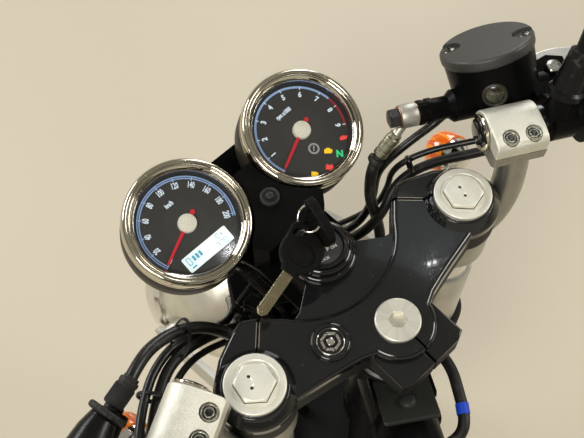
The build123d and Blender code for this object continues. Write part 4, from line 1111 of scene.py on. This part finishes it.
# Banjo joint at the cylinder's end
lathed("banjo_bolt", [(0, -56.5), (5.4, -56.5), (20, -55.6), (20, -49.2), (0, -49.2)], CYLINDER, screw_black,
       "banjo", 72, six_sided(6.6), bevel=0.25)
lathed("banjo_eye",
       [(0, -48.2), (8.2, -48.2), (8.6, -47.6), (8.9, -42), (8.9, -36.4), (8.5, -35.8), (0, -35.8)],
       CYLINDER, banjo_grey, "banjo", 72, stands_for="banjo_fitting", smooth=50)
for k, z in enumerate((-49.3, -36)):
    lathed(f"banjo_washer_{k}", [(5, 0), (7.9, 0), (8.2, 0.3), (8.2, 0.8), (7.9, 1.1), (5, 1.1)],
           CYLINDER.moved(z=z), copper, "banjo", 64)
lathed("cylinder_nose",
       [(0, -35), (8.7, -35), (9.2, -34.4), (9.2, -30.6), (8.6, -30.2), (8.6, -28.6), (9.4, -28.2), (9.4, -24),
        (0, -24)], CYLINDER, master_black, "banjo", 72, bevel=0.3)
settled("cylinder_tab", prism(rounded_box(8, 4.6, 1), 8.0, 10.1),
        Seat(CYLINDER.point(0, 0, -31), CYLINDER.y, CYLINDER.z), master_black, "banjo", bevel=0.6)

# Brake hose joint: pipe, crimped ferrule and collar, from the banjo's eye to the hose
settled("hose_pipe", tube([(110.4, 66.9, 16), (103, 66.8, 10.5), (100, 66.6, 8.5)], 3.4, 20), YOKE, banjo_grey,
        "banjo")
lathed("hose_ferrule",
       [(0, -1), (4.4, -1), (4.9, -0.4), (4.9, 2.4), (5.6, 3.0), (5.6, 7.6), (5.2, 8.2), (5.2, 9.0), (5.6, 9.6),
        (5.6, 14), (5.2, 14.6), (5.2, 15.4), (5.6, 16), (5.6, 20), (4.6, 21), (0, 21)],
       FERRULE, ferrule_olive, "banjo", 48, smooth=30)
lathed("hose_collar", [(0, 20.4), (4.2, 20.4), (4.2, 23), (5.8, 23.6), (6, 24.4), (6, 27), (5.2, 28), (0, 28)],
       FERRULE, button_black, "banjo", 48, smooth=30)

# Levers
for node in ("brake_lever", "clutch_lever"):
    dressed(node, lever_silver, "lever", 2.6, steps=4)
for side, flip in SIDES:
    lathed(f"lever_bolt_top_{side}",
           [(0, -1), (5.7, -1), (5.7, 0.9), (5.2, 1.5), (3.2, 1.7), (3.0, 1.2), (0, 1.2)],
           BAR_TOP.moved(72.5, 41, 0.4), bolt_steel, "lever", 48, flip=flip)
dressed("clutch_perch", master_black, "master_black", 0.8)

# Mirrors, headlamp and indicators
for node, finish, slot, bevel in (("mirror_right", mirror_black, "mirror_black", 0.5),
                                  ("mirror_left", mirror_black, "mirror_black", 0.5),
                                  ("mirror_glasses", mirror_glass, "mirror_glass", 0.2),
                                  ("headlamp_shell", lamp_silver, "lamp_shell", 0.5),
                                  ("headlamp_rim", lamp_chrome, "lamp_rim", 0.4),
                                  ("headlamp_lens", lamp_glass, "lamp_lens", 0.2),
                                  ("indicator_right", lamp_chrome, "indicator_chrome", 0.4),
                                  ("indicator_left", lamp_chrome, "indicator_chrome", 0.4)):
    dressed(node, finish, slot, bevel)
for side, flip in SIDES:
    lathed(f"indicator_lens_{side}", [(0, -6), (18.2, -6), (18.6, -5), (18.6, 6), (18.0, 9.5), (15.6, 13.8),
                                      (11, 17.4), (5.6, 19.4), (0, 19.8)],
           BLINKER, amber, "indicator_amber", stands_for="indicator_lenses", flip=flip, smooth=40)

# Cables and hoses: name, diameter, finish, CAD node and route
for name, diameter, finish, node, route in (
        ("brake_hose_dressed", 9, hose_black, "brake_hose",
         [(86.3, 69, -7.6), (80, 68, -17), (75, 64, -34), (76, 62, -54), (80, 58, -76), (79, 50, -98),
          (71, 40, -122), (62, 26, -148), (54, 14, -171), (50, 7, -191)]),
        ("wiring_right_dressed", 8, hose_black, "wiring_right",
         [(204, -20, 5.6), (194, -8, -6), (179, 9, -20), (156, 27, -31), (133, 45, -37), (112, 55, -42),
          (95, 57, -50), (82, 52, -62), (66, 55, -80), (55, 66, -100), (44, 82, -120), (36, 108, -143)]),
        ("clutch_cable_dressed", 8.6, sheath_gloss, "clutch_cable",
         [(-159, 49.5, 28.9), (-148, 55, 28), (-132, 61, 21), (-112, 62, 9), (-95, 59, -8), (-81, 50, -30),
          (-71, 40, -58), (-64, 30, -90), (-59, 21, -124), (-54, 12, -160), (-50, 7, -191)]),
        ("wiring_left_dressed", 8, hose_black, "wiring_left",
         [(-205, -20, 5.4), (-194, -2, -4), (-178, 16, -10), (-160, 34, -13), (-145, 46, -14), (-130, 55, -15),
          (-113, 58, -18), (-96, 60, -32), (-78, 62, -52), (-66, 64, -74), (-55, 70, -97), (-44, 85, -120),
          (-36, 108, -143)]),
        ("brake_switch_wire", 6.5, sheath_gloss, None,
         [(142, 52, 15), (134, 55, 6), (126, 57, 2), (117, 59, -1), (106, 62, -7), (95, 66, -18), (91, 70, -34),
          (90, 71, -50), (86, 68, -70), (74, 68, -94), (58, 82, -120), (48, 104, -138)]),
        ("throttle_cable", 5, sheath_gloss, None,
         [(186, -2, 4), (172, 14, -6), (152, 32, -16), (132, 49, -23), (114, 60, -30), (102, 66, -42),
          (98, 64, -60), (90, 66, -82), (74, 80, -108), (58, 100, -134)]),
        ("wiring_left_outer", 6.5, sheath_gloss, None,
         [(-200, -6, 6), (-188, 12, 2), (-172, 32, -4), (-156, 47, -8), (-140, 58, -10), (-120, 64, -12),
          (-100, 64, -25), (-82, 65, -46), (-66, 73, -74), (-50, 88, -104), (-40, 108, -138)]),
        ("wiring_left_inner", 5, hose_black, None,
         [(-196, -12, -2), (-182, 5, -10), (-166, 21, -17), (-150, 35, -21), (-134, 46, -23), (-116, 52, -26),
          (-98, 54, -38), (-82, 56, -58), (-70, 62, -80), (-56, 76, -106), (-40, 104, -140)])):
    cable(name, route, diameter, finish, "hose", stands_for=node)
cable("frame_hose", [(16, -46, -66), (24, -57, -57), (19, -73, -51), (9, -88, -50), (1, -100, -50),
                     (-8, -108, -52), (-20, -108, -55), (-31, -103, -58)], 8.4, hose_black, "hose",
      body="frame_head")


def loop(centre, ahead, wide, tall, thick=0.7, spread=2.2):
    """A closed tie round a bundle, wide across it and tall up it; its band spreads along the bundle."""
    ahead, up = Vector(ahead).normalized(), Vector((0, 0, 1))
    across = ahead.cross(up).normalized()
    up = across.cross(ahead)
    rings = []
    for angle in circle(48):
        out = across * cos(angle) * wide + up * sin(angle) * tall
        side = (across * cos(angle) / wide + up * sin(angle) / tall).normalized()
        rings.append([Vector(centre) + out + (side * cos(turn) + ahead * sin(turn) * spread) * thick
                      for turn in circle(8)])
    return stacked(rings, closed=True)


for name, centre, ahead, wide, tall in (("left", (-113, 60, -3), (0.85, 0.2, -0.45), 6.6, 20),
                                        ("left_low", (-150, 45, -14), (0.78, 0.6, -0.05), 12, 9),
                                        ("right", (113, 57.5, -36), (-0.9, 0.4, -0.2), 6, 11)):
    settled(f"cable_tie_{name}", loop(centre, ahead, wide, tall), YOKE, sheath_gloss, "hose")
tape_start, tape_end = Vector((4.6, -94.5, -50)), Vector((-0.2, -100.6, -50.4))
settled("hose_tape", tube([tape_start, tape_start.lerp(tape_end, 0.5), tape_end], 4.7, 28), YOKE, tape_blue,
        "hose", body="frame_head")

# Clutch cable's adjuster: knurled sleeve, fluted collar and boot
lathed("adjuster_sleeve",
       [(0, -2), (5.2, -2), (5.4, 0), (6.6, 0.6), (6.6, 3.2), (6.2, 3.6), (6.2, 4.2), (6.6, 4.6), (6.6, 18.4),
        (6.2, 19), (4.6, 19.2), (4.6, 23.6), (0, 23.6)],
       ADJUSTER, button_black, "master_black", 64, smooth=30)
rung("adjuster_knurl", prism(rounded_box(0.7, 0.5, 0.2, 2), 5.2, 18), ADJUSTER, button_black,
     "master_black", 40, radius=6.65)
lathed("adjuster_collar", [(0, 22), (11.6, 22), (12.6, 22.6), (12.9, 23.4), (12.9, 25.4), (12.4, 26.2),
                           (11.2, 26.8), (0, 26.8)], ADJUSTER, button_black, "master_black", 72,
       lambda angle, radius: radius * (1 + 0.02 * cos(18 * angle)) if radius > 12 else radius, smooth=40)
settled("adjuster_boot",
        tube([(-181, 44.6, 26.4), (-184, 43.8, 25.8), (-192, 41.2, 24.6), (-202, 37, 23), (-212, 32.2, 21.4),
              (-218, 29, 20.4), (-221, 27.4, 20)], [8.6, 9.6, 12.2, 14.6, 16, 15.4, 11], 40),
        YOKE, mirror_black, "master_black", smooth=50)


# Looms and connectors between the instruments and the yoke

def conduit(points, radius, pitch=1.9):
    """Corrugated tube on a smooth line through points."""
    path = [Vector(point) for point in points]
    path = [path[0] * 2 - path[1]] + path + [path[-1] * 2 - path[-2]]
    line = []
    for a, b, c, d in zip(path, path[1:], path[2:], path[3:]):
        steps = max(2, round((c - b).length / pitch) * 2)
        for t in (k / steps for k in range(steps)):
            line.append(b + (c - a) * 0.5 * t + (a * 2 - b * 5 + c * 4 - d) * 0.5 * t * t
                        + (b * 3 - a - c * 3 + d) * 0.5 * t ** 3)
    line.append(path[-2])
    return tube(line, [radius * (1.1 if k % 2 else 0.9) for k in range(len(line))], 16)


# The tray carries the looms; its dark slab is also painted shade beneath the instruments, where the floor would
# otherwise show.
TRAY = [(-50, 42), (-32, 30), (32, 30), (50, 42), (52, 80), (40, 106), (-40, 106), (-54, 82)]
settled("loom_tray", prism(TRAY, -132, -88), YOKE, bracket_black, "bracket_black", bevel=3, steps=3)
for k, (radius, points) in enumerate((
        (5.5, [(-50, 62, -84), (-24, 66, -76), (6, 62, -74), (34, 56, -78), (50, 56, -88)]),
        (5.0, [(-50, 78, -82), (-22, 80, -72), (8, 78, -70), (36, 72, -76), (52, 70, -88)]),
        (4.6, [(-34, 32, -90), (-30, 46, -76), (-32, 66, -62), (-34, 90, -60), (-36, 108, -76)]),
        (4.2, [(-8, 30, -90), (-12, 48, -72), (-10, 70, -58), (-8, 92, -56), (-10, 110, -72)]),
        (4.6, [(20, 30, -90), (26, 46, -76), (26, 68, -62), (22, 92, -58), (20, 108, -74)]),
        (3.6, [(-52, 50, -86), (-40, 48, -78), (-20, 44, -76), (4, 40, -80), (20, 34, -90)]))):
    settled(f"conduit_{k}", conduit(points, radius), YOKE, conduit_black, "hose", smooth=60)
for k, (x, y, z, turn) in enumerate((
        (-42, 70, -80, 20), (-22, 54, -74, -35), (-2, 56, -70, 60), (16, 76, -64, 10), (-20, 92, -62, 80),
        (-46, 56, -80, -20), (34, 60, -72, 30))):
    plug = joined(prism(rounded_box(17, 11, 1.4, 3), 0, 9), prism(rounded_box(6, 12.4, 0.8, 2, -3), 1.5, 10.2),
                  prism(rounded_box(2, 8, 0.5, 2, 5), 8, 10.4))
    settled(f"connector_{k}", plug, YOKE.moved(x, y, z, turn=turn), conduit_black, "hose", bevel=0.5)

# Studio: the photograph's viewpoint, then lamps, room and floor
camera_data = bpy.data.cameras.new("camera")
camera_data.sensor_width, camera_data.lens = 36.0, 56.62
camera_data.clip_start, camera_data.clip_end = 0.01, 50
camera = linked("camera", camera_data)
camera.matrix_world = Matrix.Translation(spot(-200.4, -151, 576.7)) @ Matrix((
    (0.7229, 0.6167, -0.3114, 0), (-0.6908, 0.636, -0.3439, 0), (-0.014, 0.4638, 0.8858, 0), (0, 0, 0, 1)))
bpy.context.scene.camera = camera

MIDDLE = spot(0, 18, 0)
WARM, COOL, PLAIN = (1, 0.97, 0.92), (0.97, 0.98, 1.0), (1, 1, 1)
for name, place, target, form, wide, tall, power, colour in (
        ("key", (-1.5, -0.5, 1.9), MIDDLE, "RECTANGLE", 1.0, 1.0, 42, (1, 0.96, 0.9)),
        ("fill", (1.7, -1.1, 1.3), MIDDLE, "RECTANGLE", 1.0, 0.7, 24, WARM),
        ("front", (-0.6, 2.0, 1.1), MIDDLE, "RECTANGLE", 1.4, 0.5, 26, COOL),
        ("side", (1.6, 1.2, 0.9), MIDDLE, "RECTANGLE", 0.5, 1.4, 14, (0.98, 0.98, 1.0)),
        ("sheen", spot(868, 440, 1775), MIDDLE, "RECTANGLE", 0.34, 0.2, 0.12, (0.8, 0.92, 1.0)),
        ("glint_near", spot(815, 396.2, 1798), MIDDLE, "DISK", 0.009, 0.009, 0.022, PLAIN),
        ("glint_far", spot(830, 387.2, 1798), MIDDLE, "DISK", 0.009, 0.009, 0.022, PLAIN),
        ("glass_spot", spot(436, -363, 1892), SPEED.origin, "DISK", 0.024, 0.024, 0.09, PLAIN)):
    lamp = bpy.data.lights.new(name, "AREA")
    lamp.shape, lamp.size, lamp.size_y, lamp.energy, lamp.color = form, wide, tall, power, colour
    thing = linked(name, lamp)
    thing.location, thing.rotation_mode = place, "QUATERNION"
    thing.rotation_quaternion = (Vector(target) - Vector(place)).to_track_quat("-Z", "Y")

world = bpy.data.worlds.new("studio")
bpy.context.scene.world = world
world.use_nodes = True
room = Work(world.node_tree)
room.tree.nodes.clear()
ray = {output.socket.name: output for output in room.node("ShaderNodeLightPath")}
seen = ray["Is Camera Ray"] + ray["Is Glossy Ray"] + ray["Is Transmission Ray"]
rise = room.node("ShaderNodeSeparateXYZ", {0: room.node("ShaderNodeTexCoord")[0]})[2]
walls = room.node("ShaderNodeValToRGB", {0: rise}, stops=[
    (0.3, tone(203, 196, 180)), (0.38, tone(60, 58, 54)), (0.56, tone(74, 72, 68)),
    (0.8, tone(150, 146, 136))])[0]
light = room.mix(seen, tone(120, 118, 114), walls)
back = room.node("ShaderNodeBackground", {"Color": light, "Strength": 1.0})[0]
room.node("ShaderNodeOutputWorld", {"Surface": back})

paint = Finish("studio_floor")
fine = paint.noise(240, 3, 0.6)
ground = bmesh.new()
bmesh.ops.create_grid(ground, x_segments=1, y_segments=1, size=5)
floor_mesh = mesh_of(ground, "floor")
floor_mesh.transform(Matrix.Translation((0, 0, cad_low.z - 0.002)))
floor_mesh.materials.append(paint.surface({
    "Base Color": paint.mix(paint.noise(1.4, 3), tone(196, 186, 164), tone(206, 197, 176)),
    "Roughness": 0.5 + 0.1 * fine, "Normal": paint.bump(fine, 0.0001)}))
floor = linked("floor", floor_mesh)
floor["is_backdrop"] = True

bpy.context.scene.view_settings.view_transform = "Standard"

low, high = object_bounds()
